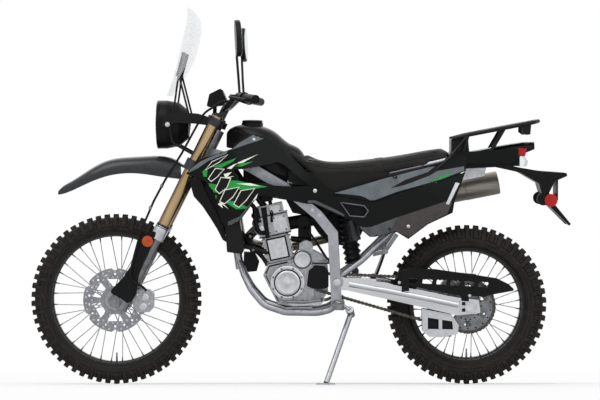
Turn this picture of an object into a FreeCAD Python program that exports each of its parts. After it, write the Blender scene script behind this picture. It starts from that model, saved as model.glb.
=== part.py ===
import FreeCAD, Part
import math
import os
import re
import Sketcher

# A dual sport motorcycle, built in its upright frame and then leaned over onto its side stand.
# Upright frame: X runs from the front axle to the rear, Y to the rider's right, Z up from the ground.

SIZES = {
    # whole machine
    "wheelbase": 1430.0,
    "lean_angle": 7.0,
    "running_clearance": 0.3,
    # front wheel
    "front_radius": 347.0,
    "front_tyre_half_width": 43.0,
    "front_bead_radius": 267.0,
    "front_rim_half_width": 31.0,
    "front_disc_radius": 130.0,
    "front_spokes": 36,
    # rear wheel
    "rear_radius": 324.0,
    "rear_tyre_half_width": 58.0,
    "rear_bead_radius": 228.0,
    "rear_rim_half_width": 40.0,
    "rear_disc_radius": 110.0,
    "rear_spokes": 36,
    "sprocket_pitch_radius": 106.2,
    "sprocket_teeth": 42,
    "chain_line": 78.0, "chain_pitch": 15.875, "chain_plate": 3.0, "chain_plate_height": 14.0,
    "chain_half_width": 10.0, "drive_sprocket_x": 838.0, "drive_sprocket_z": 421.0,
    "drive_sprocket_radius": 35.7,
    # both wheels
    "flange_height": 11.0,
    "disc_thickness": 4.0,
    "axle_radius": 10.0,
    "spoke_radius": 1.8,
    "lug_height": 12.0, "block_taper": 0.86, "shoulder_drop": 18.0,
    "tread_blocks": 48,
    "crown_share": 0.42,
    # steering head and fork
    "rake_angle": 26.5,
    "steering_offset": 62.0,
    "clamp_offset": 20.0,
    "fork_half_spacing": 97.0,
    "fork_tube_radius": 25.0,
    "fork_slider_radius": 21.5,
    "tube_bottom": 355.0,
    "tube_top": 852.0,
    "lower_clamp": 631.0,
    "upper_clamp": 828.0,
    "lower_clamp_height": 44.0,
    "upper_clamp_height": 34.0,
    "clamp_wall": 9.0,
    "stem_radius": 14.0,
    "head_tube_radius": 30.0,
    "guard_thickness": 4.0,
    # handlebar
    "bar_radius": 11.1,
    "bar_half_width": 405.0,
    "bar_rise": 1122.0,
    "grip_radius": 17.0,
    "grip_length": 122.0,
    # lamp, screen and instruments
    "lamp_radius": 98.0,
    "lamp_height": 1059.0,
    "screen_thickness": 3.5,
    "screen_curve_radius": 339.0,
    # frame
    "pivot_x": 899.0,
    "pivot_height": 424.0,
    "pivot_half_width": 128.0,
    "spar_height": 40.0,
    "spar_width": 22.0,
    "cradle_tube_radius": 13.5,
    "subframe_tube_radius": 11.0,
    # swingarm
    "swingarm_half_width": 118.0,
    "swingarm_beam_width": 26.0,
    # engine
    "crank_x": 700.0,
    "crank_height": 420.0,
    "engine_half_width": 105.0,
    "cover_side": 104.0,
    "coolant_hose_radius": 9.0,
    "air_box_half_width": 70.0,
    "cylinder_tilt": 12.0,
    # exhaust
    "header_radius": 19.0,
    "muffler_radius": 47.0,
    "muffler_length": 375.0,
    "muffler_side": 160.0,
    # body panels
    "panel_thickness": 5.0,
    "rear_fender_half_width": 72.0,
    "inner_flap_half_width": 58.0,
    "reflector_radius": 26.0,
    # rack
    "rack_half_width": 82.0,
    "rack_tube_radius": 8.0,
    "rack_plate_thickness": 5.0,
    "rack_bolt_circle": 130.0,
    "rack_bolt_radius": 4.5,
    # side stand
    "stand_pivot_x": 955.0,
    "stand_pivot_height": 300.0,
    "stand_pivot_side": 138.0,
    "stand_leg_radius": 11.0,
}


class Sizes:
    """Reads a named size from the document's spreadsheet."""

    def __init__(self, sheet):
        self.sheet = sheet

    def __getattr__(self, name):
        return float(self.sheet.get(name))


def fill_sheet(sheet):
    for row, (name, value) in enumerate(SIZES.items(), 1):
        sheet.set("A%d" % row, name)
        sheet.set("B%d" % row, str(value))
        sheet.setAlias("B%d" % row, name)


def bound(text):
    """An expression in size names, with the spreadsheet's prefix on each name."""
    return re.sub(r"[a-z_]\w*", lambda m: "dims." + m.group() if m.group() in SIZES else m.group(), text)


def vec(x, y, z):
    return FreeCAD.Vector(x, y, z)


doc = FreeCAD.newDocument("dual_sport_motorcycle")
sheet = doc.addObject("Spreadsheet::Sheet", "dims")
fill_sheet(sheet)
doc.recompute()
d = Sizes(sheet)
parts = []


# Steering axis: foot is the point nearest the front axle, up points along the axis, back is square to it.
rake = math.radians(d.rake_angle)
axis_up = vec(math.sin(rake), 0, math.cos(rake))
axis_back = vec(math.cos(rake), 0, -math.sin(rake))
front_axle = vec(0, 0, d.front_radius)
rear_axle = vec(d.wheelbase, 0, d.rear_radius)
pivot = vec(d.pivot_x, 0, d.pivot_height)
axis_foot = front_axle + axis_back * d.steering_offset
lean = FreeCAD.Rotation(vec(1, 0, 0), d.lean_angle)


# Helpers that add sub-parts to the document

def keep(obj, label):
    obj.Label = label
    parts.append(obj)
    return obj


def feature(label, shape):
    """A sub-part whose form comes from sweeps, lofts and outlines in the upright frame."""
    obj = doc.addObject("Part::Feature", label)
    obj.Shape = shape
    return keep(obj, label)


def new_body(label, placement=FreeCAD.Placement(), own_part=True):
    body = doc.addObject("PartDesign::Body", label)
    body.Placement = placement
    return keep(body, label) if own_part else body


def new_sketch(body, plane, name):
    sketch = body.newObject("Sketcher::SketchObject", name)
    support = [o for o in body.Origin.OriginFeatures if o.Role == plane][0]
    sketch.AttachmentSupport = [(support, "")]
    sketch.MapMode = "FlatFace"
    return sketch


def pin(sketch, kind, geometry, point, text):
    """Fixes a point's distance from the sketch origin, or a radius, to an expression."""
    value = float(sheet.evalExpression(text))
    if kind == "Radius":
        number = sketch.addConstraint(Sketcher.Constraint(kind, geometry, value))
    else:
        number = sketch.addConstraint(Sketcher.Constraint(kind, -1, 1, geometry, point, value))
    sketch.setExpression("Constraints[%d]" % number, bound(text))


def outline(sketch, corners):
    """A closed polygon whose corners are pairs of expressions."""
    first = sketch.GeometryCount
    points = [vec(sheet.evalExpression(a), sheet.evalExpression(b), 0) for a, b in corners]
    count = len(points)
    for i in range(count):
        sketch.addGeometry(Part.LineSegment(points[i], points[(i + 1) % count]), False)
    for i in range(count):
        sketch.addConstraint(Sketcher.Constraint("Coincident", first + i, 2, first + (i + 1) % count, 1))
    for i, (a, b) in enumerate(corners):
        pin(sketch, "DistanceX", first + i, 1, a)
        pin(sketch, "DistanceY", first + i, 1, b)


def circle(sketch, x, y, radius):
    number = sketch.GeometryCount
    centre = vec(sheet.evalExpression(x), sheet.evalExpression(y), 0)
    value = float(sheet.evalExpression(radius))
    sketch.addGeometry(Part.Circle(centre, vec(0, 0, 1), value), False)
    pin(sketch, "DistanceX", number, 3, x)
    pin(sketch, "DistanceY", number, 3, y)
    pin(sketch, "Radius", number, 0, radius)


def revolve(body, sketch, name):
    """Turns a sketch round its upright axis."""
    turned = body.newObject("PartDesign::Revolution", name)
    turned.Profile = sketch
    turned.ReferenceAxis = (sketch, ["V_Axis"])
    turned.Angle = 360
    doc.recompute()
    return turned


def ring_body(label, placement, corners, own_part=True):
    """A turned piece: its profile holds (radius, side) corners and turns about the body's Y axis."""
    body = new_body(label, placement, own_part)
    profile = new_sketch(body, "XY_Plane", label + "_profile")
    outline(profile, corners)
    revolve(body, profile, label + "_turned")
    return body


def pad(body, sketch, name, length, both_sides=False, reverse=False):
    padded = body.newObject("PartDesign::Pad", name)
    padded.Profile = sketch
    padded.setExpression("Length", bound(length))
    padded.Midplane = both_sides
    padded.Reversed = reverse
    doc.recompute()
    return padded


def pocket_through(body, sketch, name):
    cut = body.newObject("PartDesign::Pocket", name)
    cut.Profile = sketch
    cut.Type = "ThroughAll"
    cut.Midplane = True
    doc.recompute()
    return cut


def polar(body, feature_to_repeat, name, count, axis):
    """Repeats a feature round one of the body's own axes."""
    pattern = body.newObject("PartDesign::PolarPattern", name)
    pattern.Originals = [feature_to_repeat]
    pattern.Axis = ([o for o in body.Origin.OriginFeatures if o.Role == axis][0], [""])
    pattern.Angle = 360
    pattern.setExpression("Occurrences", bound(count))
    body.Tip = pattern
    doc.recompute()
    return pattern


# Shape helpers for swept, lofted and cut forms

def rod(start, end, radius):
    along = end - start
    return Part.makeCylinder(radius, along.Length, start, along)


def bent_path(points, bend):
    """Straight runs joined by tangent arcs of the bend radius, or less where a run is short."""
    edges = []
    here = points[0]
    for before, corner, after in zip(points, points[1:], points[2:]):
        into = (corner - before).normalize()
        out = (after - corner).normalize()
        half_turn = into.getAngle(out) / 2
        room = 0.48 * min((corner - before).Length, (after - corner).Length)
        cut = min(bend * math.tan(half_turn), room)
        radius = cut / math.tan(half_turn)
        start = corner - into * cut
        end = corner + out * cut
        centre = corner + (out - into).normalize() * (radius / math.cos(half_turn))
        middle = centre + (corner - centre).normalize() * radius
        edges.append(Part.LineSegment(here, start).toShape())
        edges.append(Part.Arc(start, middle, end).toShape())
        here = end
    edges.append(Part.LineSegment(here, points[-1]).toShape())
    return Part.Wire(edges)


def bent_tube(points, radius, bend):
    path = bent_path(points, bend)
    start = points[0]
    ring = Part.Wire([Part.makeCircle(radius, start, points[1] - start)])
    return path.makePipeShell([ring], True, True)


def side_face(points, side):
    """A flat face in a fore-and-aft plane from (x, z) corners."""
    corners = [vec(x, side, z) for x, z in points]
    return Part.Face(Part.makePolygon(corners + corners[:1]))


def side_plate(points, side, thickness):
    return side_face(points, side).extrude(vec(0, thickness, 0))


def rounded_side_plate(points, side, thickness, radius):
    """A side plate whose upright corners are rounded."""
    plate = side_plate(points, side, thickness)
    edges = [e for e in plate.Edges if abs(abs(e.tangentAt(e.FirstParameter).y) - 1) < 1e-6]
    return plate.makeFillet(radius, edges)


def section(x, half_width, low, high, power):
    """A closed crosswise curve at x: flat underneath at low, crowned to high."""
    count = 12
    points = []
    for i in range(count + 1):
        a = math.pi * i / count
        y = math.copysign(abs(math.cos(a)) ** (2 / power), math.cos(a)) * half_width
        z = low + (high - low) * math.sin(a) ** (2 / power)
        points.append(vec(x, y, z))
    curve = Part.BSplineCurve()
    curve.interpolate(points)
    base = Part.LineSegment(points[-1], points[0])
    return Part.Wire([curve.toShape(), base.toShape()])


def mirrored(shape):
    return shape.mirror(vec(0, 0, 0), vec(0, 1, 0))


def both_sides(shape):
    return Part.makeCompound([shape, mirrored(shape)])


def fused(shapes):
    """One shape from several, with coplanar faces joined where that keeps it valid."""
    whole = shapes[0].multiFuse(shapes[1:])
    joined = whole.removeSplitter()
    return joined if joined.isValid() else whole


def square_tube(points, height, width):
    """A rectangular tube along straight runs with mitred corners."""
    path = Part.makePolygon(points)
    along = (points[1] - points[0]).normalize()
    across = vec(0, 1, 0) - along * along.y
    across.normalize()
    tall = along.cross(across)
    corners = [points[0] + across * (width / 2 * a) + tall * (height / 2 * b)
               for a, b in ((-1, -1), (1, -1), (1, 1), (-1, 1))]
    ring = Part.makePolygon(corners + corners[:1])
    return path.makePipeShell([ring], True, False, 1)


def crowned_loft(stations, power=2.6):
    """A solid through crosswise sections: each station is (x, half width, low, high)."""
    return Part.makeLoft([section(x, w, low, high, power) for x, w, low, high in stations], True, False)


def crowned_shell(stations, thickness, power=2.6):
    """A crowned skin that is open underneath."""
    inner = [(x, w - thickness, low - 40, high - thickness) for x, w, low, high in stations]
    inner[0] = (inner[0][0] - 1,) + inner[0][1:]
    inner[-1] = (inner[-1][0] + 1,) + inner[-1][1:]
    return crowned_loft(stations, power).cut(crowned_loft(inner, power))


def upright_strip(x, widths, thickness):
    """A thin closed section at x: widths holds (z, half width) pairs on the left side."""
    outer = [vec(x, -w, z) for z, w in widths]
    inner = [vec(x, -w + thickness, z) for z, w in widths]
    front = Part.BSplineCurve()
    front.interpolate(outer)
    back = Part.BSplineCurve()
    back.interpolate(inner[::-1])
    ends = [Part.LineSegment(outer[-1], inner[-1]), Part.LineSegment(inner[0], outer[0])]
    return Part.Wire([front.toShape(), ends[0].toShape(), back.toShape(), ends[1].toShape()])


def curved_panel(points, stations, thickness):
    """A bowed left-hand skin trimmed to a side outline of (x, z) corners."""
    skin = Part.makeLoft([upright_strip(x, widths, thickness) for x, widths in stations], True, False)
    return skin.common(side_plate(points, -400, 400))


def polar_point(radius, angle):
    return vec(radius * math.cos(angle), 0, radius * math.sin(angle))


# Parametric primitives in the document

def cylinder(name, start, direction, radius, length):
    obj = doc.addObject("Part::Cylinder", name)
    obj.setExpression("Radius", bound(radius))
    obj.setExpression("Height", bound(length))
    obj.Placement = FreeCAD.Placement(start, FreeCAD.Rotation(vec(0, 0, 1), direction))
    return obj


def box(name, placement, length, width, height):
    obj = doc.addObject("Part::Box", name)
    obj.setExpression("Length", bound(length))
    obj.setExpression("Width", bound(width))
    obj.setExpression("Height", bound(height))
    obj.Placement = placement
    return obj


def fuse(name, objects):
    obj = doc.addObject("Part::MultiFuse", name)
    obj.Shapes = objects
    return obj


fork_frame = FreeCAD.Placement(axis_foot, FreeCAD.Rotation(vec(0, 1, 0), d.rake_angle))


def in_fork(x, y, z):
    """A placement in the fork's frame: x behind the steering axis, z up along it."""
    return fork_frame * FreeCAD.Placement(vec(x, y, z), FreeCAD.Rotation())


# Wheels

def faceted(corners, faces):
    """A closed solid from points and the corner numbers of its flat faces."""
    skins = []
    for face in faces:
        points = [corners[i] for i in face]
        skins.append(Part.Face(Part.makePolygon(points + points[:1])))
    shell = Part.Shell(skins)
    shell.sewShape()
    solid = Part.makeSolid(shell)
    return solid.reversed() if solid.Volume < 0 else solid


def tyre(label, centre, bead, radius, half_width, rim_half_width):
    """A faceted carcass whose tread strips carry tapered blocks in staggered rows."""
    base = radius - d.lug_height
    rows = [(bead, rim_half_width - 3.6), (bead + d.flange_height + 1, rim_half_width - 3.2),
            (bead + 30, half_width * 0.95), (base - d.shoulder_drop, half_width * 0.96),
            (base, half_width * d.crown_share)]
    tread = range(len(rows) - 2, len(rows) + 1)
    rows += [(r, -y) for r, y in rows[::-1]]
    rows += [(bead + 22, -half_width * 0.5), (radius - 34, -half_width * 0.5), (radius - 34, half_width * 0.5),
             (bead + 22, half_width * 0.5)]
    facets = int(d.tread_blocks / 2)
    turn = 2 * math.pi / facets
    corners = []
    numbers = {}

    def corner(facet, step, row):
        """A corner on a flat facet, four steps to its chord. The first facet faces the ground."""
        key = ((facet + step // 4) % facets, step % 4, row)
        if key not in numbers:
            reach, across = rows[row]
            angle = (facet + step // 4) * turn
            along = (step % 4 / 2 - 1) * reach * math.tan(turn / 2)
            outward = vec(math.sin(angle), 0, -math.cos(angle))
            onward = vec(math.cos(angle), 0, math.sin(angle))
            numbers[key] = len(corners)
            corners.append(outward * reach + onward * along + vec(0, across, 0))
        return numbers[key]

    def block(ring, angle):
        """The top of a block is its foot, moved outward and made a little smaller."""
        middle = sum((corners[i] for i in ring), vec(0, 0, 0)) * (1 / len(ring))
        outward = vec(math.sin(angle), 0, -math.cos(angle))
        top = range(len(corners), len(corners) + len(ring))
        corners.extend(middle + (corners[i] - middle) * d.block_taper + outward * d.lug_height for i in ring)
        walls = [[ring[k - 1], ring[k], top[k], top[k - 1]] for k in range(len(ring))]
        return [list(top)] + walls

    faces = []
    for facet in range(facets):
        for row in range(len(rows)):
            after = (row + 1) % len(rows)
            if row in tread:
                for step in range(4):
                    ring = [corner(facet, step, row), corner(facet, step + 1, row),
                            corner(facet, step + 1, after), corner(facet, step, after)]
                    raised = (step + row - tread[0]) % 2 == 0
                    faces += block(ring, facet * turn) if raised else [ring]
                continue
            near = range(5) if row == tread[-1] + 1 else (0, 4)
            far = (4, 3, 2, 1, 0) if after == tread[0] else (4, 0)
            faces.append([corner(facet, k, row) for k in near] + [corner(facet, k, after) for k in far])
    shape = faceted(corners, faces)
    shape.translate(centre)
    feature(label, shape)


def rim(label, centre, bead, half_width):
    half = [(bead + " + flange_height", half_width), (bead + " + flange_height", half_width + " - 3"),
            (bead, half_width + " - 3.5"), (bead, half_width + " * 0.5"), (bead + " - 7", half_width + " * 0.3")]
    inside = [(bead + " - flange_height", half_width + " * 0.36"), (bead + " - 5", half_width + " * 0.6"),
              (bead + " - 4", half_width + " - 1.5")]
    corners = inside + half + [(r, "-(" + y + ")") for r, y in half[::-1]]
    corners += [(r, "-(" + y + ")") for r, y in inside[::-1]]
    return ring_body(label, FreeCAD.Placement(centre, FreeCAD.Rotation()), corners)


def hub(label, centre, left, right):
    """The hub shell: left and right hold the (radius, side) corners beyond each spoke flange."""
    bore = "axle_radius + running_clearance"
    middle = [("30", "36"), ("30", "28"), ("21", "24"), ("21", "-24"), ("30", "-28"), ("30", "-36")]
    corners = right + middle + left
    corners += [(bore, left[-1][1]), (bore, right[0][1])]
    return ring_body(label, FreeCAD.Placement(centre, FreeCAD.Rotation()), corners, own_part=False)


def laced_hub(label, centre, hub_shell, count, rim_inner, rim_shape):
    """The hub with its crossed spokes, trimmed to the rim's inner face."""
    rods = []
    for i in range(count):
        side = 1 if i % 2 else -1
        cross = 1 if (i // 2) % 2 else -1
        at_rim = 2 * math.pi * (i + 0.5) / count
        at_hub = at_rim + cross * math.radians(62)
        flange = side * 32 + cross * 2.2
        start = vec(26 * math.cos(at_hub), flange, 26 * math.sin(at_hub))
        end = vec(rim_inner * math.cos(at_rim), side * 6, rim_inner * math.sin(at_rim))
        rods.append(rod(start, end, d.spoke_radius))
    lace = doc.addObject("Part::Feature", label + "_spokes")
    rows = Part.makeCompound(rods)
    rows.translate(centre)
    lace.Shape = rows.cut(rim_shape)
    return keep(fuse(label, [hub_shell, lace]), label)


def disc(label, centre, radius, carrier, holes):
    """A brake disc with drilled rows and scalloped edge on a windowed carrier."""
    body = new_body(label, FreeCAD.Placement(centre, FreeCAD.Rotation()))
    ring = new_sketch(body, "XZ_Plane", label + "_ring")
    circle(ring, "0", "0", radius)
    circle(ring, "0", "0", radius + " * 0.34")
    pad(body, ring, label + "_blank", "disc_thickness", both_sides=True)
    window = new_sketch(body, "XZ_Plane", label + "_window")
    outline(window, [("-" + radius + " * 0.17", radius + " * 0.44"), (radius + " * 0.17", radius + " * 0.44"),
                     (radius + " * 0.25", radius + " * 0.66"), ("-" + radius + " * 0.25", radius + " * 0.66")])
    polar(body, pocket_through(body, window, label + "_opening"), label + "_windows", carrier, "Y_Axis")
    drill = new_sketch(body, "XZ_Plane", label + "_drill")
    circle(drill, "0", radius + " * 0.82", radius + " * 0.035")
    polar(body, pocket_through(body, drill, label + "_hole"), label + "_holes", holes, "Y_Axis")
    edge = new_sketch(body, "XZ_Plane", label + "_edge")
    circle(edge, "0", radius + " * 1.06", radius + " * 0.12")
    polar(body, pocket_through(body, edge, label + "_scallop"), label + "_scallops", carrier, "Y_Axis")
    return body


def sprocket(label, centre):
    """The driven sprocket: a thin toothed ring with windows."""
    body = new_body(label, FreeCAD.Placement(centre, FreeCAD.Rotation()))
    blank = new_sketch(body, "XZ_Plane", label + "_ring")
    circle(blank, "0", "0", "sprocket_pitch_radius + 3")
    circle(blank, "0", "0", "36")
    pad(body, blank, label + "_blank", "disc_thickness", both_sides=True)
    gap = new_sketch(body, "XZ_Plane", label + "_gap")
    circle(gap, "0", "sprocket_pitch_radius + 1.5", "4.6")
    polar(body, pocket_through(body, gap, label + "_tooth_gap"), label + "_teeth", "sprocket_teeth", "Y_Axis")
    window = new_sketch(body, "XZ_Plane", label + "_window")
    circle(window, "0", "72", "15")
    polar(body, pocket_through(body, window, label + "_opening"), label + "_windows", "6", "Y_Axis")
    return body


def build_front_wheel():
    tyre("front_tyre", front_axle, d.front_bead_radius, d.front_radius, d.front_tyre_half_width,
         d.front_rim_half_width)
    front_rim = rim("front_rim", front_axle, "front_bead_radius", "front_rim_half_width")
    shell = hub("front_hub_shell", front_axle, [("54", "-53"), ("54", "-60"), ("24", "-60"), ("24", "-68")],
                [("24", "62"), ("26", "40")])
    rim_inner = d.front_bead_radius - d.flange_height + 1
    laced_hub("front_hub", front_axle, shell, int(d.front_spokes), rim_inner, front_rim.Shape)
    disc("front_disc", front_axle + vec(0, -62, 0), "front_disc_radius", "6", "18")


def build_rear_wheel():
    tyre("rear_tyre", rear_axle, d.rear_bead_radius, d.rear_radius, d.rear_tyre_half_width,
         d.rear_rim_half_width)
    rear_rim = rim("rear_rim", rear_axle, "rear_bead_radius", "rear_rim_half_width")
    shell = hub("rear_hub_shell", rear_axle, [("52", "-50"), ("52", "-76"), ("30", "-76"), ("30", "-84")],
                [("24", "80"), ("24", "70"), ("46", "70"), ("46", "62")])
    rim_inner = d.rear_bead_radius - d.flange_height + 1
    laced_hub("rear_hub", rear_axle, shell, int(d.rear_spokes), rim_inner, rear_rim.Shape)
    disc("rear_disc", rear_axle + vec(0, 72, 0), "rear_disc_radius", "6", "12")
    sprocket("rear_sprocket", rear_axle + vec(0, -d.chain_line, 0))


# Steering assembly

def build_fork():
    up = axis_up
    tubes = []
    sliders = []
    for name, side in (("left", -1), ("right", 1)):
        y = side * d.fork_half_spacing
        base = in_fork(-d.clamp_offset, y, d.tube_bottom).Base
        tubes.append(cylinder("tube_" + name, base, up, "fork_tube_radius", "tube_top - tube_bottom"))
        foot = in_fork(-d.clamp_offset, y, -20).Base
        sliders.append(cylinder("slider_" + name, foot, up, "fork_slider_radius", "tube_bottom + 20"))
        ring = in_fork(-d.clamp_offset, y, d.tube_bottom - 38).Base
        sliders.append(cylinder("collar_" + name, ring, up, "fork_tube_radius + 4", "38"))
        lug = vec(0, y - 21, d.front_radius)
        sliders.append(cylinder("lug_" + name, lug, vec(0, 1, 0), "axle_radius + 14", "42"))
        web = in_fork(-d.steering_offset, y - 16, -22)
        sliders.append(box("web_" + name, web, "steering_offset - clamp_offset", "32", "44"))
    keep(fuse("fork_tubes", tubes), "fork_tubes")
    start = vec(0, -d.fork_half_spacing - 26, d.front_radius)
    axle = cylinder("front_axle_rod", start, vec(0, 1, 0), "axle_radius", "2 * fork_half_spacing + 52")
    left_collar = vec(0, -d.fork_half_spacing + 15, d.front_radius)
    sliders.append(cylinder("spacer_left", left_collar, vec(0, 1, 0), "axle_radius + 7", "13"))
    right_collar = vec(0, d.fork_half_spacing - 34, d.front_radius)
    sliders.append(cylinder("spacer_right", right_collar, vec(0, 1, 0), "axle_radius + 7", "19"))
    keep(fuse("fork_sliders", sliders + [axle]), "fork_sliders")


def clamp_plate(height, centre, half_width):
    """The web of a fork clamp in the fork's frame."""
    reach = d.clamp_offset
    corners = [(18, -30), (18, 30), (-reach + 8, half_width), (-reach - 26, half_width), (-reach - 34, 30),
               (-reach - 34, -30), (-reach - 26, -half_width), (-reach + 8, -half_width)]
    points = [vec(x, y, centre - height / 2) for x, y in corners]
    plate = Part.Face(Part.makePolygon(points + points[:1])).extrude(vec(0, 0, height))
    boss = Part.makeCylinder(28, height, vec(0, 0, centre - height / 2))
    return plate.fuse(boss)


def build_clamps():
    shapes = []
    spread = d.fork_half_spacing
    for centre, height in ((d.lower_clamp, d.lower_clamp_height), (d.upper_clamp, d.upper_clamp_height)):
        shapes.append(clamp_plate(height * 0.8, centre, spread))
        for y in (-spread, spread):
            base = vec(-d.clamp_offset, y, centre - height / 2)
            shapes.append(Part.makeCylinder(d.fork_tube_radius + d.clamp_wall, height, base))
    shapes.append(Part.makeCylinder(d.stem_radius, d.upper_clamp - d.lower_clamp, vec(0, 0, d.lower_clamp)))
    top = d.upper_clamp + d.upper_clamp_height * 0.4
    shapes.append(Part.makeCylinder(16, 8, vec(0, 0, top)))
    for y in (-42, 42):
        shapes.append(Part.makeCylinder(15, 52, vec(-8, y, top)))
    clamps = fused(shapes)
    for y in (-spread, spread):
        clamps = clamps.cut(Part.makeCylinder(d.fork_tube_radius, 700, vec(-d.clamp_offset, y, 300)))
    clamps.Placement = fork_frame
    return feature("triple_clamp", clamps.cut(bar_shape()))


def bar_shape():
    half = d.bar_half_width
    z = d.bar_rise
    right = [vec(443, 70, z), vec(457, 150, z + 6), vec(490, 228, z + 42), vec(520, 262, z + 44),
             vec(580, half, z + 34)]
    left = [vec(p.x, -p.y, p.z) for p in right[::-1]]
    return bent_tube(left + right, d.bar_radius, 60)


def bar_end(side):
    """The start and outward direction of a grip."""
    inner = vec(520, 262 * side, d.bar_rise + 44)
    outer = vec(580, d.bar_half_width * side, d.bar_rise + 34)
    along = (outer - inner).normalize()
    return outer - along * d.grip_length, along


def build_controls():
    bar = bar_shape()
    feature("handlebar", bar)
    shapes = []
    for side in (-1, 1):
        start, along = bar_end(side)
        grip = rod(start, start + along * (d.grip_length + 3), d.grip_radius)
        flange = rod(start, start + along * 6, d.grip_radius + 5)
        switch = rod(start - along * 34, start - along * 2, 20)
        perch = rod(start - along * 62, start - along * 42, 18)
        pivot_point = start - along * 48 + vec(-40, 0, 2)
        arm = rod(start - along * 52, pivot_point, 9)
        lever = bent_tube([pivot_point, pivot_point + along * 40 + vec(-14, 0, 0),
                           pivot_point + along * 165 + vec(4, 0, -4)], 5.5, 40)
        shapes.append(fused([grip, flange]))
        shapes.append(switch)
        shapes.append(fused([perch, arm, lever]))
    feature("controls", Part.makeCompound([s.cut(bar) for s in shapes]))


def build_mirrors():
    shapes = []
    for side in (-1, 1):
        start, along = bar_end(side)
        foot = start - along * 52 + vec(0, 0, 17)
        head = vec(506, 318 * side, 1395)
        stem = bent_tube([foot, foot + vec(-4, 6 * side, 60), head + vec(-2, -24 * side, -70), head], 5, 40)
        disc_shape = Part.Face(Part.Wire([Part.Ellipse(vec(0, 0, 0), 72, 58).toShape()])).extrude(vec(0, 0, 22))
        disc_shape = disc_shape.makeFillet(8, disc_shape.Edges[0:1] + disc_shape.Edges[2:3])
        turn = FreeCAD.Rotation(vec(0, 0, 1), vec(0.99, -0.1 * side, 0.05))
        disc_shape.Placement = FreeCAD.Placement(head + vec(-6, 0, 0), turn)
        shapes.append(disc_shape.fuse(stem))
    feature("mirrors", Part.makeCompound(shapes).cut(shapes_of("controls")))


def lamp_turn():
    """Maps a turned body's axis to straight ahead."""
    return FreeCAD.Placement(vec(200, 0, d.lamp_height), FreeCAD.Rotation(vec(0, 0, 1), 90))


def build_headlight():
    bowl = [("0", "-106"), ("56", "-98"), ("lamp_radius * 0.9", "-60"), ("lamp_radius", "-10"),
            ("lamp_radius", "26"), ("lamp_radius * 0.9", "26"), ("lamp_radius * 0.9", "-8"),
            ("lamp_radius * 0.8", "-54"), ("52", "-88"), ("0", "-96")]
    ring_body("headlight", lamp_turn(), bowl)
    glass = [("0", "40"), ("lamp_radius * 0.45", "36"), ("lamp_radius * 0.75", "26"), ("lamp_radius * 0.9", "14"),
             ("lamp_radius * 0.9", "8"), ("lamp_radius * 0.72", "20"), ("lamp_radius * 0.43", "31"), ("0", "35")]
    ring_body("headlight_lens", lamp_turn(), glass)


def screen_section(x, z, half_width, front, back):
    """A level arc following the screen, from one depth behind its front face to another."""
    reach = d.screen_curve_radius
    angle = math.asin(half_width / reach)
    wires = []
    for r in (reach - front, reach - back):
        points = [vec(x + reach - r * math.cos(a), r * math.sin(a), z) for a in (-angle, 0, angle)]
        wires.append(points)
    outer = Part.Arc(*wires[0]).toShape()
    inner = Part.Arc(*wires[1][::-1]).toShape()
    ends = [Part.LineSegment(wires[0][2], wires[1][2]).toShape(),
            Part.LineSegment(wires[1][0], wires[0][0]).toShape()]
    return Part.Wire([outer, ends[0], inner, ends[1]])


def build_screen():
    levels = [(207, 1176, 96), (233, 1250, 150), (258, 1340, 186), (276, 1420, 190), (289, 1480, 172),
              (292, 1515, 130), (291, 1531, 84)]
    thick = d.screen_thickness
    screen = Part.makeLoft([screen_section(x, z, w, 0, thick) for x, z, w in levels], True, False)
    space_ahead = Part.makeLoft([screen_section(x, z, w, -60, thick) for x, z, w in levels], True, False)
    feature("windscreen", screen)
    plates = []
    for side in (-1, 1):
        plate = Part.makeBox(20, 22, 100, vec(-6, side * 101 - 11, 0))
        plate.Placement = FreeCAD.Placement(vec(252, 0, 1254), FreeCAD.Rotation(vec(0, 1, 0), 15.5))
        plate = plate.cut(space_ahead)
        upper = rod(vec(263, 103 * side, 1262), vec(240, 103 * side, 1095), 4)
        cross = rod(vec(264, 103 * side, 1258), vec(305, 103 * side, 1094), 4)
        mount_arm = rounded_side_plate([(196, 1048), (200, 1094), (250, 1108), (330, 1104), (420, 1076), (420, 1050),
                                        (330, 1062), (250, 1066)], side * 106 - 3, 6, 4)
        boss = rod(vec(218, 96 * side, 1059), vec(218, 112 * side, 1059), 14)
        low_arm = bent_tube([vec(224, 108 * side, 1056), vec(238, 108 * side, 985), vec(318, 106 * side, 940)], 4.5, 36)
        plates.append(fused([plate, upper, cross, mount_arm, boss, low_arm]))
    whole = fused(plates)
    clear = Part.makeCompound([o.Shape for o in parts if o.Label in ("triple_clamp", "fork_tubes", "headlight")])
    feature("windscreen_mount", whole.cut(clear).cut(screen))


def build_instrument():
    block = rounded_side_plate([(372, 1128), (384, 1182), (432, 1206), (456, 1152), (438, 1136)], -68, 136, 9)
    stalk = rod(vec(404, 0, 1140), in_fork(-26, 0, d.upper_clamp).Base, 8)
    feature("instrument", fused([block, stalk]).cut(shapes_of("triple_clamp", "handlebar")))


def build_front_fender():
    stations = [(-236, 14, 774, 788), (-190, 34, 786, 824), (-113, 58, 822, 873), (-32, 66, 850, 914),
                (60, 68, 862, 927), (136, 66, 856, 931), (200, 62, 846, 930), (262, 56, 838, 905)]
    skin = crowned_shell(stations, d.panel_thickness - 1)
    bridge = Part.makeBox(100, 60, 10, vec(-90, -30, d.lower_clamp - 0.4 * d.lower_clamp_height - 10))
    bridge.Placement = fork_frame
    clear = Part.makeCompound([o.Shape for o in parts if o.Label in ("fork_tubes", "triple_clamp")])
    feature("front_fender", skin.fuse(bridge).cut(clear))


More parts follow.
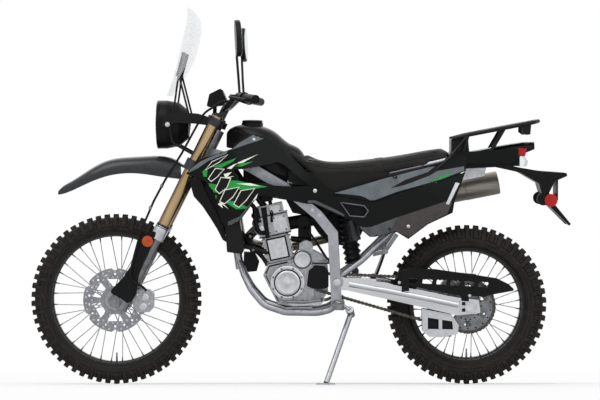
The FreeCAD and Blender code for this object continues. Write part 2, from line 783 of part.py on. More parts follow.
def build_fork_guards():
    side_view = [(108, 629), (95, 575), (83, 511), (37, 442), (-10, 393), (-10, 380), (21, 366), (55, 340), (74, 349),
                 (90, 374), (96, 405), (102, 455), (143, 551), (172, 629)]
    wall = d.guard_thickness
    outer = rounded_side_plate(side_view, -129, 52, 6)
    inner = side_plate([(x + wall + 3, z) for x, z in side_view], -129 + wall, 52)
    guard = outer.cut(inner)
    guard = guard.cut(Part.makeCompound([o.Shape for o in parts if o.Label == "fork_sliders"]))
    feature("fork_guards", both_sides(guard))


def build_fork_reflectors():
    discs = [rod(vec(132, side * 129, 592), vec(132, side * 136, 592), 16) for side in (-1, 1)]
    feature("fork_reflectors", Part.makeCompound(discs))


def build_front_caliper():
    view = [(68, 372), (86, 392), (140, 392), (160, 372), (158, 318), (142, 300), (92, 300), (76, 318)]
    block = rounded_side_plate(view, -88, 42, 8)
    slot = Part.makeCylinder(d.front_disc_radius + 7, 14, front_axle + vec(0, -69, 0), vec(0, 1, 0))
    block = block.cut(slot)
    block = block.cut(Part.makeCompound([o.Shape for o in parts if o.Label in ("fork_sliders", "fork_guards")]))
    points = [vec(492, -212, 1152), vec(440, -190, 1150), vec(365, -132, 1104), vec(276, -127, 943),
              vec(205, -127, 829), vec(163, -127, 751), vec(143, -132, 704), vec(112, -138, 632), vec(84, -138, 530),
              vec(62, -138, 440), vec(118, -138, 408), vec(126, -110, 396), vec(126, -72, 384)]
    hose = bent_tube(points, 4, 60)
    feature("front_brake", fused([block, hose]).cut(shapes_of("fork_guards", "handlebar", "controls")))


# Frame and running gear that stay with the frame

def shapes_of(*labels):
    """The shapes of finished sub-parts, to trim a neighbour against."""
    return Part.makeCompound([o.Shape for o in parts if o.Label in labels])


def build_frame():
    head = Part.makeCylinder(d.head_tube_radius, 146, vec(0, 0, 658))
    head.Placement = fork_frame
    bore = Part.makeCylinder(d.stem_radius + d.running_clearance, 160, vec(0, 0, 650))
    bore.Placement = fork_frame
    y = d.pivot_half_width - d.spar_width / 2
    rail = [vec(372, -22, 948), vec(474, -40, 919), vec(560, -86, 882), vec(690, -y + 6, 806), vec(823, -y, 696),
            vec(884, -y, 620), vec(892, -y, 466), vec(899, -y, 330)]
    left = square_tube(rail, d.spar_height, d.spar_width)
    pivot_boss = Part.makeCylinder(26, d.spar_width + 4, pivot + vec(0, -d.pivot_half_width - 2, 0), vec(0, 1, 0))
    left = left.fuse(pivot_boss)
    cross_low = rod(vec(900, -y, 338), vec(900, y, 338), 13)
    cross_high = rod(vec(800, -y, 715), vec(800, y, 715), 13)
    gusset = Part.makeBox(60, 40, 30, vec(376, -20, 908))
    whole = fused([head, left, mirrored(left), cross_low, cross_high, gusset])
    pivot_bore = rod(pivot + vec(0, -200, 0), pivot + vec(0, 200, 0), 9 + d.running_clearance)
    feature("main_frame", whole.cut(bore).cut(pivot_bore))


def stand_directions():
    """The leg's direction when down, and the hinge axis that folds it back along the swingarm."""
    down = vec(-0.294, -0.602, -0.742).normalize()
    folded = vec(0.966, -0.08, 0.24).normalize()
    return down, down.cross(folded).normalize()


stand_hinge = vec(d.stand_pivot_x, -d.stand_pivot_side, d.stand_pivot_height)
stand_down, stand_axis = stand_directions()
floor_drop = d.crown_share * d.rear_tyre_half_width * math.sin(math.radians(d.lean_angle))


def stand_bracket():
    """The fixed pin of the side stand and its arm to the frame."""
    pin_shape = rod(stand_hinge - stand_axis * 17, stand_hinge + stand_axis * 26, 6)
    cheek = rod(stand_hinge + stand_axis * 17, stand_hinge + stand_axis * 26, 17)
    arm = rod(stand_hinge + stand_axis * 22, vec(900, -d.pivot_half_width + 8, 345), 8)
    return [pin_shape, cheek, arm]


def build_cradle():
    tube = d.cradle_tube_radius
    down = bent_tube([vec(420, 0, 880), vec(470, 0, 700), vec(505, 0, 470)], 17, 300)
    rail = bent_tube([vec(504, -14, 500), vec(522, -46, 450), vec(552, -78, 392), vec(606, -92, 328),
                      vec(690, -92, 300), vec(820, -92, 298), vec(872, -100, 310), vec(897, -112, 336)], tube, 90)
    plate = rounded_side_plate([(540, 400), (600, 330), (690, 300), (800, 300), (800, 306), (690, 306),
                                (605, 338), (546, 406)], -86, 172, 2)
    lower = fused([down, rail, mirrored(rail), plate] + stand_bracket())
    feature("cradle", lower.cut(shapes_of("main_frame")))


def build_subframe():
    tube = d.subframe_tube_radius
    upper = bent_tube([vec(700, -94, 826), vec(860, -96, 826), vec(1060, -92, 852), vec(1340, -84, 915),
                       vec(1545, -70, 925)], tube, 120)
    lower = bent_tube([vec(905, -104, 440), vec(1000, -108, 510), vec(1130, -108, 635), vec(1300, -92, 840),
                       vec(1345, -84, 908)], tube, 80)
    bridge = rod(vec(1340, -80, 915), vec(1340, 80, 915), 9)
    bridge_front = rod(vec(1075, -90, 855), vec(1075, 90, 855), 9)
    whole = fused([upper, lower, mirrored(upper), mirrored(lower), bridge, bridge_front])
    feature("subframe", whole.cut(shapes_of("main_frame")))


def build_swingarm():
    half = d.swingarm_half_width
    side_view = [(880, 452), (940, 440), (1099, 419), (1276, 382), (1384, 362), (1470, 352), (1478, 300), (1384, 290),
                 (1238, 324), (1089, 358), (940, 391), (884, 394)]
    beam = rounded_side_plate(side_view, -half, d.swingarm_beam_width, 5)
    slot = rounded_side_plate([(1395, 339), (1462, 339), (1462, 309), (1395, 309)], -half - 5, 40, 12)
    block = rounded_side_plate([(1392, 352), (1466, 345), (1466, 296), (1392, 300)], -half - 4,
                               d.swingarm_beam_width + 6, 6)
    arch = rounded_side_plate([(940, 442), (1058, 436), (1058, 380), (940, 398)], -half + 8, 2 * half - 16, 5)
    shock_mount = Part.makeBox(48, 124, 24, vec(951, -62, 430))
    tunnel = rod(pivot + vec(0, -half, 0), pivot + vec(0, half, 0), 21)
    whole = fused([beam, mirrored(beam), arch, shock_mount, tunnel, block, mirrored(block)])
    axle = rod(rear_axle + vec(0, -half - 22, 0), rear_axle + vec(0, half + 22, 0), d.axle_radius)
    nuts = [rod(rear_axle + vec(0, s * (half + 4), 0), rear_axle + vec(0, s * (half + 18), 0), 16) for s in (-1, 1)]
    pivot_rod = rod(pivot + vec(0, -d.pivot_half_width - 14, 0), pivot + vec(0, d.pivot_half_width + 14, 0), 9)
    whole = fused([whole, axle, pivot_rod] + nuts).cut(shapes_of("main_frame", "subframe"))
    feature("swingarm", whole)


def build_shock():
    low = vec(975, 0, 462)
    high = vec(925, 0, 770)
    along = (high - low).normalize()
    body = rod(low + along * 190, high, 25)
    shaft = rod(low, high, 9)
    cup_low = rod(low + along * 34, low + along * 42, 36)
    cup_high = rod(low + along * 232, low + along * 242, 38)
    eye = rod(low + vec(0, -18, 0), low + vec(0, 18, 0), 15)
    top = rod(high + vec(0, -18, 0), high + vec(0, 18, 0), 15)
    turns = 8
    pitch = 190 / turns
    zigzag = [vec(r, 0, 42 + pitch * (i / 2)) for i, r in enumerate([28, 38] * turns + [28])]
    profile = Part.makePolygon([vec(26, 0, 42)] + zigzag + [vec(26, 0, 232), vec(26, 0, 42)])
    coil = Part.Face(profile).revolve(vec(0, 0, 0), vec(0, 0, 1), 360)
    coil.Placement = FreeCAD.Placement(low, FreeCAD.Rotation(vec(0, 0, 1), along))
    reservoir = rod(vec(975, -66, 590), vec(960, -66, 672), 23)
    neck = rod(vec(968, -66, 630), vec(948, -10, 640), 8)
    whole = fused([body, shaft, cup_low, cup_high, eye, top, reservoir, neck]).fuse(coil)
    link = rod(vec(975, -60, 452), vec(975, 60, 452), 7)
    feature("shock", whole.fuse(link).cut(shapes_of("swingarm", "main_frame", "subframe")))


def build_engine():
    case = new_body("engine_case")
    block = new_sketch(case, "XZ_Plane", "case_outline")
    outline(block, [("601", "448"), ("620", "492"), ("732", "516"), ("800", "548"), ("858", "520"), ("866", "462"),
                    ("864", "384"), ("830", "326"), ("723", "322"), ("660", "332")])
    pad(case, block, "case_block", "2 * engine_half_width - 70", both_sides=True)
    for name, x, z, radius, extra in (("crank_cover", "crank_x", "crank_height", "69", "0"),
                                      ("crank_cap", "crank_x", "crank_height", "50", "12"),
                                      ("pump_cover", "760", "513", "34", "-24"),
                                      ("idler_cover", "775", "562", "28", "-50")):
        round_sketch = new_sketch(case, "XZ_Plane", name + "_ring")
        circle(round_sketch, x, z, radius)
        pad(case, round_sketch, name, "2 * engine_half_width + " + extra, both_sides=True)
    clutch = new_sketch(case, "XZ_Plane", "side_cover_outline")
    outline(clutch, [("690", "350"), ("690", "490"), ("770", "520"), ("806", "480"), ("806", "350")])
    pad(case, clutch, "case_covers", "2 * engine_half_width - 26", both_sides=True)
    doc.recompute()
    placement = FreeCAD.Placement(vec(672, 0, 500), FreeCAD.Rotation(vec(0, 1, 0), -d.cylinder_tilt))
    barrel = new_body("engine_cylinder", placement)
    stages = (("barrel", "-54", "54", "4", "116", "124"), ("head", "-62", "66", "116", "196", "150"),
              ("cam_box", "-56", "54", "196", "238", "136"))
    for name, back, front, low, high, width in stages:
        outline_sketch = new_sketch(barrel, "XZ_Plane", name + "_outline")
        outline(outline_sketch, [(back, low), (front, low), (front, high), (back, high)])
        pad(barrel, outline_sketch, name, width, both_sides=True)
    for i in range(5):
        fin = new_sketch(barrel, "XZ_Plane", "fin_%d_outline" % i)
        low = 16 + 20 * i
        outline(fin, [("-60", str(low)), ("60", str(low)), ("60", str(low + 5)), ("-60", str(low + 5))])
        pad(barrel, fin, "fin_%d" % i, "136", both_sides=True)
    doc.recompute()


def build_exhaust():
    path = [vec(606, 0, 660), vec(560, 10, 622), vec(532, 60, 590), vec(560, 128, 560), vec(700, 134, 548),
            vec(880, 146, 590), vec(1040, 150, 668), vec(1192, d.muffler_side, 744)]
    header = bent_tube(path, d.header_radius, 60)
    rise = FreeCAD.Rotation(vec(0, 1, 0), vec(0.981, 0, 0.194))
    start = vec(1188, d.muffler_side, 742)
    ring_body("muffler", FreeCAD.Placement(start, rise),
              [("0", "0"), ("header_radius + 4", "0"), ("muffler_radius", "46"),
               ("muffler_radius", "muffler_length - 30"), ("muffler_radius - 16", "muffler_length"),
               ("15", "muffler_length"), ("15", "muffler_length - 40"), ("0", "muffler_length - 40")])
    trims = shapes_of("engine_cylinder", "engine_case", "main_frame", "subframe", "cradle", "swingarm", "muffler")
    feature("exhaust", header.cut(trims))


def build_heat_shield():
    """The bracket plate on the muffler's inner side, under the tail."""
    view = [(1425, 800), (1430, 884), (1512, 898), (1523, 892), (1516, 858), (1500, 800)]
    plate = rounded_side_plate(view, d.muffler_side - 30, 4, 3)
    rim_strip = rounded_side_plate([(1430, 878), (1512, 892), (1512, 898), (1430, 884)], d.muffler_side - 30, 26, 2)
    feature("heat_shield", fused([plate, rim_strip]).cut(shapes_of("muffler", "rear_fender", "tail", "subframe")))


def build_radiators():
    view = [(448, 842), (482, 846), (527, 566), (520, 540), (458, 548), (452, 640)]
    core = rounded_side_plate(view, -158, 108, 6)
    hose = bent_tube([vec(500, -62, 800), vec(560, -60, 790), vec(610, -40, 716), vec(640, -30, 700)], 12, 40)
    lower_hose = bent_tube([vec(510, -66, 570), vec(560, -70, 560), vec(600, -62, 545), vec(640, -50, 540)], 11, 30)
    trims = shapes_of("engine_cylinder", "engine_case", "main_frame", "cradle", "exhaust")
    pair = both_sides(fused([core, hose, lower_hose])).cut(trims)
    feature("radiators", pair)


def build_coolant_hose():
    """A hose from the left radiator down to the water jacket."""
    path = [vec(488, -110, 744), vec(566, -106, 738), vec(572, -100, 660), vec(584, -92, 622), vec(630, -58, 618)]
    hose = bent_tube(path, d.coolant_hose_radius, 26)
    feature("coolant_hose", hose.cut(shapes_of("radiators", "engine_cylinder")))


def build_intake():
    """The carburettor behind the head, its boot and the air box between the frame rails."""
    body = rod(vec(700, 0, 655), vec(800, 0, 672), 27)
    bowl = Part.makeBox(54, 48, 62, vec(742, -24, 598))
    drum = rod(vec(765, -46, 664), vec(765, -20, 664), 24)
    boot = rod(vec(796, 0, 671), vec(868, 0, 726), 34)
    box_view = [(826, 735), (884, 700), (893, 790), (826, 812)]
    air_box = rounded_side_plate(box_view, -d.air_box_half_width, 2 * d.air_box_half_width, 8)
    drain = rod(vec(712, -20, 594), vec(796, -20, 586), 12)
    overflow = bent_tube([vec(760, -20, 640), vec(776, -70, 640), vec(812, -84, 590), vec(856, -98, 522),
                          vec(888, -114, 496)], 5, 22)
    whole = fused([body, bowl, drum, boot, air_box, drain, overflow])
    feature("intake", whole.cut(shapes_of("engine_cylinder", "engine_case", "main_frame", "shock", "subframe")))


# Tank, seat and panels

def build_tank():
    stations = [(452, 34, 968, 1024), (476, 52, 962, 1048), (512, 78, 948, 1058), (560, 104, 920, 1058),
                (606, 118, 890, 1049), (640, 120, 868, 1034), (664, 116, 858, 1016), (706, 104, 846, 982),
                (760, 92, 846, 946), (822, 82, 846, 914)]
    body = crowned_loft(stations, 3.0)
    neck = Part.makeCylinder(44, 18, vec(556, 0, 1048))
    trims = shapes_of("main_frame", "subframe", "shock", "engine_cylinder", "radiators")
    feature("fuel_tank", body.fuse(neck).cut(trims))
    ring_body("fuel_cap", FreeCAD.Placement(vec(556, 0, 1066), FreeCAD.Rotation(vec(1, 0, 0), 90)),
              [("0", "0"), ("40", "0"), ("42", "3"), ("41", "9"), ("30", "11"), ("0", "12")])


def shroud_widths(x, wide, top_wide):
    """The upright bow of the shroud at one station."""
    return (x, [(560, wide - 34), (700, wide - 8), (820, wide), (920, (wide + top_wide) / 2 + 10), (1040, top_wide)])


def build_shrouds():
    view = [(296, 862), (309, 878), (355, 921), (430, 946), (480, 962), (492, 983), (552, 1018), (570, 1018),
            (617, 1007), (662, 977), (709, 928), (768, 878), (880, 784), (953, 674), (807, 741), (779, 741),
            (713, 755), (682, 762), (604, 777), (586, 773), (564, 748), (536, 708), (511, 674), (464, 650),
            (438, 669), (418, 751), (402, 796), (374, 831), (333, 849)]
    notch = [(690, 896), (662, 909), (577, 890), (543, 884), (487, 878), (515, 834), (559, 825), (621, 825),
             (652, 815), (730, 811), (790, 812)]
    stations = [shroud_widths(x, wide, top) for x, wide, top in
                ((280, 168, 158), (360, 182, 164), (440, 204, 172), (520, 216, 160), (600, 204, 134), (700, 176, 112),
                 (800, 152, 106), (900, 142, 112), (980, 138, 118))]
    panel = curved_panel(view, stations, d.panel_thickness)
    opening = side_plate(notch, -400, 400)
    skin = panel.cut(opening)
    bracket = rod(vec(500, -150, 900), vec(500, -208, 900), 6)
    lower_bracket = rod(vec(480, -150, 700), vec(480, -205, 700), 6)
    trims = shapes_of("main_frame", "subframe", "radiators", "fuel_tank")
    left = fused([skin, bracket.cut(skin), lower_bracket.cut(skin)]).cut(trims)
    feature("shroud_left", left)
    feature("shroud_right", mirrored(left).cut(trims))
    duct_view = [(305, 849), (326, 772), (362, 731), (394, 682), (419, 641), (441, 597), (466, 581), (460, 591),
                 (438, 663), (413, 713), (382, 772), (352, 840)]
    duct = curved_panel(duct_view, [shroud_widths(x, wide, 160) for x, wide in ((290, 170), (380, 176), (480, 184))],
                        d.panel_thickness)
    arms = [rod(vec(x, -120, z), vec(x, -166, z), 6) for x, z in ((452, 608),)]
    whole = fused([duct] + arms)
    feature("radiator_ducts", both_sides(whole).cut(shapes_of("radiators", "shroud_left", "shroud_right")))


def build_seat():
    stations = [(656, 62, 986, 1014), (700, 92, 934, 984), (760, 108, 884, 946), (840, 116, 836, 909),
                (900, 122, 842, 904), (1000, 128, 846, 911), (1100, 126, 858, 922), (1210, 112, 878, 940),
                (1300, 100, 900, 955), (1355, 92, 930, 962)]
    body = crowned_loft(stations, 3.4)
    trims = shapes_of("fuel_tank", "main_frame", "subframe", "shroud_left", "shroud_right")
    feature("seat", body.cut(trims))


def cover_widths(x, top, low):
    return (x, [(560, low - 10), (640, low), (720, low + 2), (790, (low + top) / 2 + 4), (860, top), (960, top - 12)])


def build_side_covers():
    upper_view = [(868, 790), (900, 792), (1095, 848), (1267, 890), (1319, 906), (1372, 944), (1419, 930),
                  (1419, 872), (1319, 833), (1140, 784), (1051, 750), (1030, 750), (890, 778)]
    lower_view = [(884, 776), (1030, 748), (1051, 748), (1140, 782), (1319, 831), (1417, 868), (1372, 751),
                  (1364, 704), (1264, 658), (1185, 599), (1139, 627), (1049, 608), (1030, 608), (993, 639),
                  (956, 676)]
    slot = rounded_side_plate([(912, 743), (1006, 728), (1018, 712), (1004, 694), (940, 700)], -400, 400, 8)
    stations = [cover_widths(x, top, low) for x, top, low in
                ((860, 134, 140), (960, 138, 146), (1060, 138, 148), (1160, 132, 146), (1260, 122, 138),
                 (1360, 112, 124), (1440, 100, 108))]
    upper = curved_panel(upper_view, stations, d.panel_thickness)
    lower = curved_panel(lower_view, stations, d.panel_thickness).cut(slot)
    stays = [rod(vec(x, -104, z), vec(x, -150, z), 6) for x, z in ((1110, 640), (1130, 850))]
    trims = shapes_of("subframe", "seat", "shock", "shroud_left", "shroud_right", "main_frame")
    left = fused([upper, lower] + [stay.cut(fused([upper, lower])) for stay in stays]).cut(trims)
    feature("side_cover_left", left)
    feature("side_cover_right", mirrored(left).cut(shapes_of("muffler", "exhaust", "subframe", "seat",
                                                             "shroud_right", "main_frame")))


def build_tail():
    stations = [(1358, 96, 922, 948), (1440, 90, 918, 950), (1540, 76, 916, 968), (1620, 64, 930, 982),
                (1700, 50, 958, 988)]
    light = rounded_side_plate([(1629, 963), (1668, 961), (1661, 930), (1634, 930)], -62, 124, 3)
    lens = rounded_side_plate([(1640, 930), (1660, 930), (1674, 908), (1668, 888), (1640, 888)], -54, 108, 5)
    feature("tail_light", light)
    feature("plate_light", lens.cut(light))
    cowl = crowned_loft(stations, 3.6)
    lamp_box = rounded_side_plate([(1560, 890), (1560, 940), (1640, 950), (1654, 940), (1668, 890)], -52, 104, 10)
    trims = shapes_of("seat", "subframe", "side_cover_left", "side_cover_right", "tail_light", "plate_light")
    feature("tail", fused([cowl, lamp_box]).cut(trims))


def build_rear_fender():
    half = d.rear_fender_half_width
    side_view = [(1180, 858), (1300, 878), (1420, 900), (1540, 906), (1640, 884), (1720, 870), (1828, 862),
                 (1830, 850), (1780, 828), (1752, 770), (1846, 656), (1839, 649), (1736, 752), (1716, 820),
                 (1640, 864), (1540, 886), (1420, 880), (1300, 858), (1180, 838)]
    sheet_part = rounded_side_plate(side_view, -half, 2 * half, 2)
    notch_corners = [vec(1700, 0, 712), vec(1700, -44, 620), vec(1700, 44, 620), vec(1700, 0, 712)]
    notch = Part.Face(Part.makePolygon(notch_corners)).extrude(vec(200, 0, 0))
    plate = Part.makeBox(3, 2 * half + 6, 88, vec(1790, -half - 3, 752))
    arms = [rod(vec(1734, side * (half - 8), 757), vec(1734, side * (half + 4), 757), d.reflector_radius)
            for side in (-1, 1)]
    trims = shapes_of("subframe", "tail", "tail_light", "plate_light", "seat")
    feature("rear_fender", fused([sheet_part.cut(notch), plate] + arms).cut(trims))
    discs = [rod(vec(1764, side * (half + 4), 752), vec(1764, side * (half + 12), 752), d.reflector_radius)
             for side in (-1, 1)]
    feature("rear_reflectors", Part.makeCompound(discs))


rack_front = vec(1428, 0, 1016)
rack_end = vec(1690, 0, 1066)
rack_along = (rack_end - rack_front).normalize()
rack_normal = vec(-rack_along.z, 0, rack_along.x)
rack_centre = rack_front + rack_along * 150 + rack_normal * (4 + d.rack_plate_thickness)


def build_rack():
    half = d.rack_half_width
    tube = d.rack_tube_radius
    end = rack_end
    rail = bent_tube([vec(1365, -half + 14, 1000), vec(1428, -half, 1016), end + vec(0, -half, 0),
                      end + vec(26, -half + 40, 6), end + vec(26, half - 40, 6), end + vec(0, half, 0),
                      vec(1428, half, 1016), vec(1365, half - 14, 1000)], tube, 34)
    shapes = [rail]
    for step in (36, 75, 150, 225, 270):
        at = rack_front + rack_along * step
        shapes.append(rod(at + vec(0, -half, 0), at + vec(0, half, 0), tube - 2))
    for side in (-1, 1):
        y = side * half
        shapes.append(rod(vec(1576, y, 1044), vec(1510, side * 74, 930), tube - 1))
        shapes.append(rod(vec(1428, y, 1016), vec(1400, side * 86, 905), tube - 1))
        shapes.append(bent_tube([vec(1425, y, 1012), vec(1352, side * 104, 924), vec(1300, side * 118, 880)], 5, 30))
        hook = [(1648, 1060), (1646, 1028), (1662, 1016), (1680, 1018), (1684, 1064)]
        shapes.append(rounded_side_plate(hook, y - side * 8 - 4, 8, 2))
    shapes.append(rounded_side_plate([(1362, 940), (1362, 1000), (1430, 1006), (1436, 940)], -half + 20,
                                     2 * half - 40, 6))
    turn = FreeCAD.Rotation(vec(0, 1, 0), -math.degrees(math.atan2(rack_along.z, rack_along.x)))
    plate = Part.makeBox(190, 2 * half - 6, d.rack_plate_thickness, vec(-95, -half + 3, 4))
    for i in range(4):
        a = math.pi / 4 + i * math.pi / 2
        reach = d.rack_bolt_circle / 2
        hole = Part.makeCylinder(d.rack_bolt_radius, 40, vec(reach * math.cos(a), reach * math.sin(a), -20))
        plate = plate.cut(hole)
    plate.Placement = FreeCAD.Placement(rack_front + rack_along * 150, turn)
    whole = fused(shapes).cut(plate)
    trims = shapes_of("subframe", "tail", "seat", "side_cover_left", "side_cover_right")
    feature("rack", fused([whole, plate]).cut(trims))


def chain_band(front, rear, reach):
    """The face inside a loop around both sprockets, a little outside or inside the line of the pins."""
    gap = rear - front
    lean_angle = math.atan2(gap.z, gap.x)
    spread = math.acos((d.sprocket_pitch_radius - d.drive_sprocket_radius) / gap.Length)
    points = []
    for centre, radius, middle, sweep, steps in (
            (front, d.drive_sprocket_radius + reach, lean_angle + math.pi, spread, 6),
            (rear, d.sprocket_pitch_radius + reach, lean_angle, math.pi - spread, 14)):
        for i in range(steps + 1):
            points.append(centre + polar_point(radius, middle + sweep * (2 * i / steps - 1)))
    return Part.Face(Part.makePolygon(points + points[:1])), points[0], points[-1]


def prism(centre, radius, sides, length):
    """A bar with flat sides, across the bike."""
    points = [centre + polar_point(radius, 2 * math.pi * i / sides) for i in range(sides + 1)]
    bar = Part.Face(Part.makePolygon(points)).extrude(vec(0, length, 0))
    bar.translate(vec(0, -length / 2, 0))
    return bar


def build_chain():
    """Two rows of link plates as faceted bands, with rollers between them on the upper run."""
    front = vec(d.drive_sprocket_x, -d.chain_line, d.drive_sprocket_z)
    rear = rear_axle + vec(0, -d.chain_line, 0)
    plate_half = d.chain_plate_height / 2
    loop = chain_band(front, rear, plate_half)[0].cut(chain_band(front, rear, -plate_half)[0])
    rows = []
    for offset in (-d.chain_half_width, d.chain_half_width - d.chain_plate):
        row = loop.extrude(vec(0, d.chain_plate, 0))
        row.translate(vec(0, offset, 0))
        rows.append(row)
    run_start, run_end = chain_band(front, rear, 0)[1:]
    run = run_end - run_start
    count = int(run.Length / d.chain_pitch)
    rollers = [prism(run_start + run * (i / count), 5, 4, 2 * d.chain_half_width - d.chain_plate)
               for i in range(1, count - 2, 2)]
    drive = prism(front, d.drive_sprocket_radius + 3, 12, 5)
    boss = prism(front + vec(0, 5, 0), 22, 8, 26)
    whole = fused(rows + rollers + [drive, boss])
    feature("chain", whole.cut(shapes_of("swingarm", "engine_case")))


def build_sprocket_cover():
    """A shell over the front of the chain, closed ahead and above and open behind."""
    outer = rounded_side_plate([(778, 408), (786, 470), (812, 490), (852, 486), (866, 462), (866, 404), (846, 396),
                                (800, 397)], -d.cover_side, d.cover_side - 70, 6)
    inside = side_plate([(788, 380), (792, 462), (814, 478), (900, 478), (900, 380)], -d.cover_side + 8, d.cover_side)
    feature("sprocket_cover", outer.cut(inside).cut(shapes_of("engine_case", "chain", "main_frame")))


def build_inner_fender():
    """The flap that stands on the swingarm ahead of the rear tyre."""
    side_view = [(1036, 444), (1056, 448), (1076, 500), (1098, 562), (1105, 559), (1084, 496), (1064, 442),
                 (1054, 430), (1036, 430)]
    flap = side_plate(side_view, -d.inner_flap_half_width, 2 * d.inner_flap_half_width)
    feature("inner_fender", flap.cut(shapes_of("swingarm")))


def build_chain_guards():
    view = [(1143, 463), (1185, 483), (1294, 477), (1450, 455), (1543, 440), (1591, 416), (1616, 391), (1513, 372),
            (1484, 362), (1480, 366), (1380, 372), (1276, 392), (1147, 420)]
    plate = rounded_side_plate(view, -d.swingarm_half_width - 6, 5, 5)
    slots = [rounded_side_plate([(x, 442 - 0.06 * (x - 1200)), (x + 40, 440 - 0.06 * (x - 1200)),
                                 (x + 34, 420 - 0.06 * (x - 1200)), (x - 4, 422 - 0.06 * (x - 1200))], -200, 200, 4)
             for x in range(1190, 1500, 56)]
    plate = plate.cut(Part.makeCompound(slots))
    roof = Part.makeBox(280, 30, 4, vec(1180, -d.swingarm_half_width - 6, 476))
    roof.rotate(vec(1180, 0, 478), vec(0, 1, 0), 5)
    guide_view = [(1242, 316), (1362, 292), (1391, 248), (1387, 214), (1325, 200), (1272, 202), (1244, 226)]
    outer = rounded_side_plate(guide_view, -104, 8, 6)
    inner = rounded_side_plate(guide_view, -64, 4, 6)
    windows = [rounded_side_plate([(x, 274), (x + 44, 266), (x + 44, 236), (x, 236)], -200, 200, 6)
               for x in (1266, 1324)]
    tie = Part.makeBox(90, 44, 5, vec(1272, -104, 203))
    hanger = Part.makeBox(90, 14, 60, vec(1262, -104, 290))
    guide = fused([outer, inner, tie]).cut(Part.makeCompound(windows))
    tabs = [Part.makeBox(30, 6, 45, vec(x, -d.swingarm_half_width - 6, z)) for x, z in ((1160, 388), (1400, 340))]
    whole = Part.makeCompound([fused([plate, roof] + tabs), guide.fuse(hanger)])
    feature("chain_guard", whole.cut(shapes_of("swingarm", "chain")))


def build_foot_controls():
    shapes = []
    for side in (-1, 1):
        y = d.pivot_half_width * side
        bracket = rounded_side_plate([(880, 352), (930, 352), (930, 312), (880, 312)], y - 4, 8, 6)
        peg = rod(vec(905, y, 330), vec(905, y + side * 92, 334), 13)
        cleat = Part.makeBox(44, 66, 8, vec(883, min(y + side * 26, y + side * 92), 336))
        hanger = square_tube([vec(1044, side * 120, 536), vec(1092, side * 132, 548), vec(1140, side * 134, 618)], 16, 8)
        pillion = rod(vec(1092, side * 132, 548), vec(1092, side * 190, 552), 11)
        shapes += [fused([bracket, peg, cleat]), fused([hanger, pillion])]
    shift = bent_tube([vec(838, -70, 352), vec(838, -118, 352), vec(770, -132, 344), vec(690, -132, 346)], 6, 16)
    toe = rod(vec(690, -136, 346), vec(690, -170, 346), 8)
    brake = bent_tube([vec(905, 140, 352), vec(860, 150, 330), vec(760, 140, 326), vec(700, 136, 346)], 7, 30)
    pad_shape = Part.makeBox(46, 34, 8, vec(672, 122, 346))
    shapes += [fused([shift, toe]), fused([brake, pad_shape])]
    trims = shapes_of("main_frame", "cradle", "engine_case", "swingarm", "subframe", "side_cover_left",
                      "side_cover_right", "exhaust")
    feature("foot_controls", Part.makeCompound(shapes).cut(trims))


def build_rear_caliper():
    view = [(1312, 372), (1336, 414), (1392, 444), (1420, 430), (1410, 372), (1384, 352), (1346, 338)]
    block = rounded_side_plate(view, 54, d.swingarm_half_width - d.swingarm_beam_width - 54, 6)
    slot = Part.makeCylinder(d.rear_disc_radius + 7, 14, rear_axle + vec(0, 65, 0), vec(0, 1, 0))
    block = block.cut(slot)
    hose = bent_tube([vec(1384, 84, 386), vec(1300, 105, 381.5), vec(1099, 105, 423), vec(1000, 106, 438)],
                     3.5, 40)
    feature("rear_caliper", fused([block, hose]).cut(shapes_of("swingarm", "main_frame")))


def build_side_stand():
    """The leg with its collar on the pin and a foot whose sole meets the floor."""
    collar = rod(stand_hinge - stand_axis * 11, stand_hinge + stand_axis * 11, 15)
    bore = rod(stand_hinge - stand_axis * 20, stand_hinge + stand_axis * 20, 6 + d.running_clearance)
    slope = math.tan(math.radians(d.lean_angle))
    lift = floor_drop / math.cos(math.radians(d.lean_angle))
    foot_thickness = 7
    reach = (stand_hinge.z + slope * stand_hinge.y + lift) / -(stand_down.z + slope * stand_down.y)
    sole = stand_hinge + stand_down * reach
    leg = rod(stand_hinge, stand_hinge + stand_down * (reach - foot_thickness - 1), d.stand_leg_radius)
    foot = Part.makeBox(74, 46, foot_thickness, vec(-37, -26, 0))
    foot = foot.makeFillet(9, [e for e in foot.Edges if abs(e.tangentAt(e.FirstParameter).z) > 0.99])
    foot.Placement = FreeCAD.Placement(sole, FreeCAD.Rotation(vec(1, 0, 0), -d.lean_angle))
    whole = fused([collar, leg, foot])
    feature("side_stand", whole.cut(bore))


def park(objects):
    """Leans the machine onto its stand and puts the origin under the middle of its box."""
    lean_only = FreeCAD.Placement(vec(0, 0, 0), lean)
    bounds = FreeCAD.BoundBox()
    for obj in objects:
        shape = obj.Shape.copy()
        shape.Placement = lean_only * shape.Placement
        bounds.add(shape.optimalBoundingBox(True, False))
    shift = vec(-(bounds.XMin + bounds.XMax) / 2, -(bounds.YMin + bounds.YMax) / 2, -bounds.ZMin)
    parked = FreeCAD.Placement(shift, lean)
    for obj in objects:
        obj.Placement = parked * obj.Placement
    return parked, bounds


def report_point(name, parked, point, axis):
    place = parked.multVec(point)
    way = parked.Rotation.multVec(axis)
    print("%s at %.4f %.4f %.4f m, axis %.5f %.5f %.5f" % (
        name, place.x / 1000, place.y / 1000, place.z / 1000, way.x, way.y, way.z))


def export(objects):
    os.makedirs("parts", exist_ok=True)
    for obj in objects:
        if {"Invalid", "Error"} & set(obj.State):
            raise RuntimeError(obj.Label + " did not recompute")
        if obj.Shape.isNull() or not obj.Shape.isValid():
            raise RuntimeError(obj.Label + " has no valid shape")
        obj.Shape.exportStep("parts/%s.step" % obj.Label)


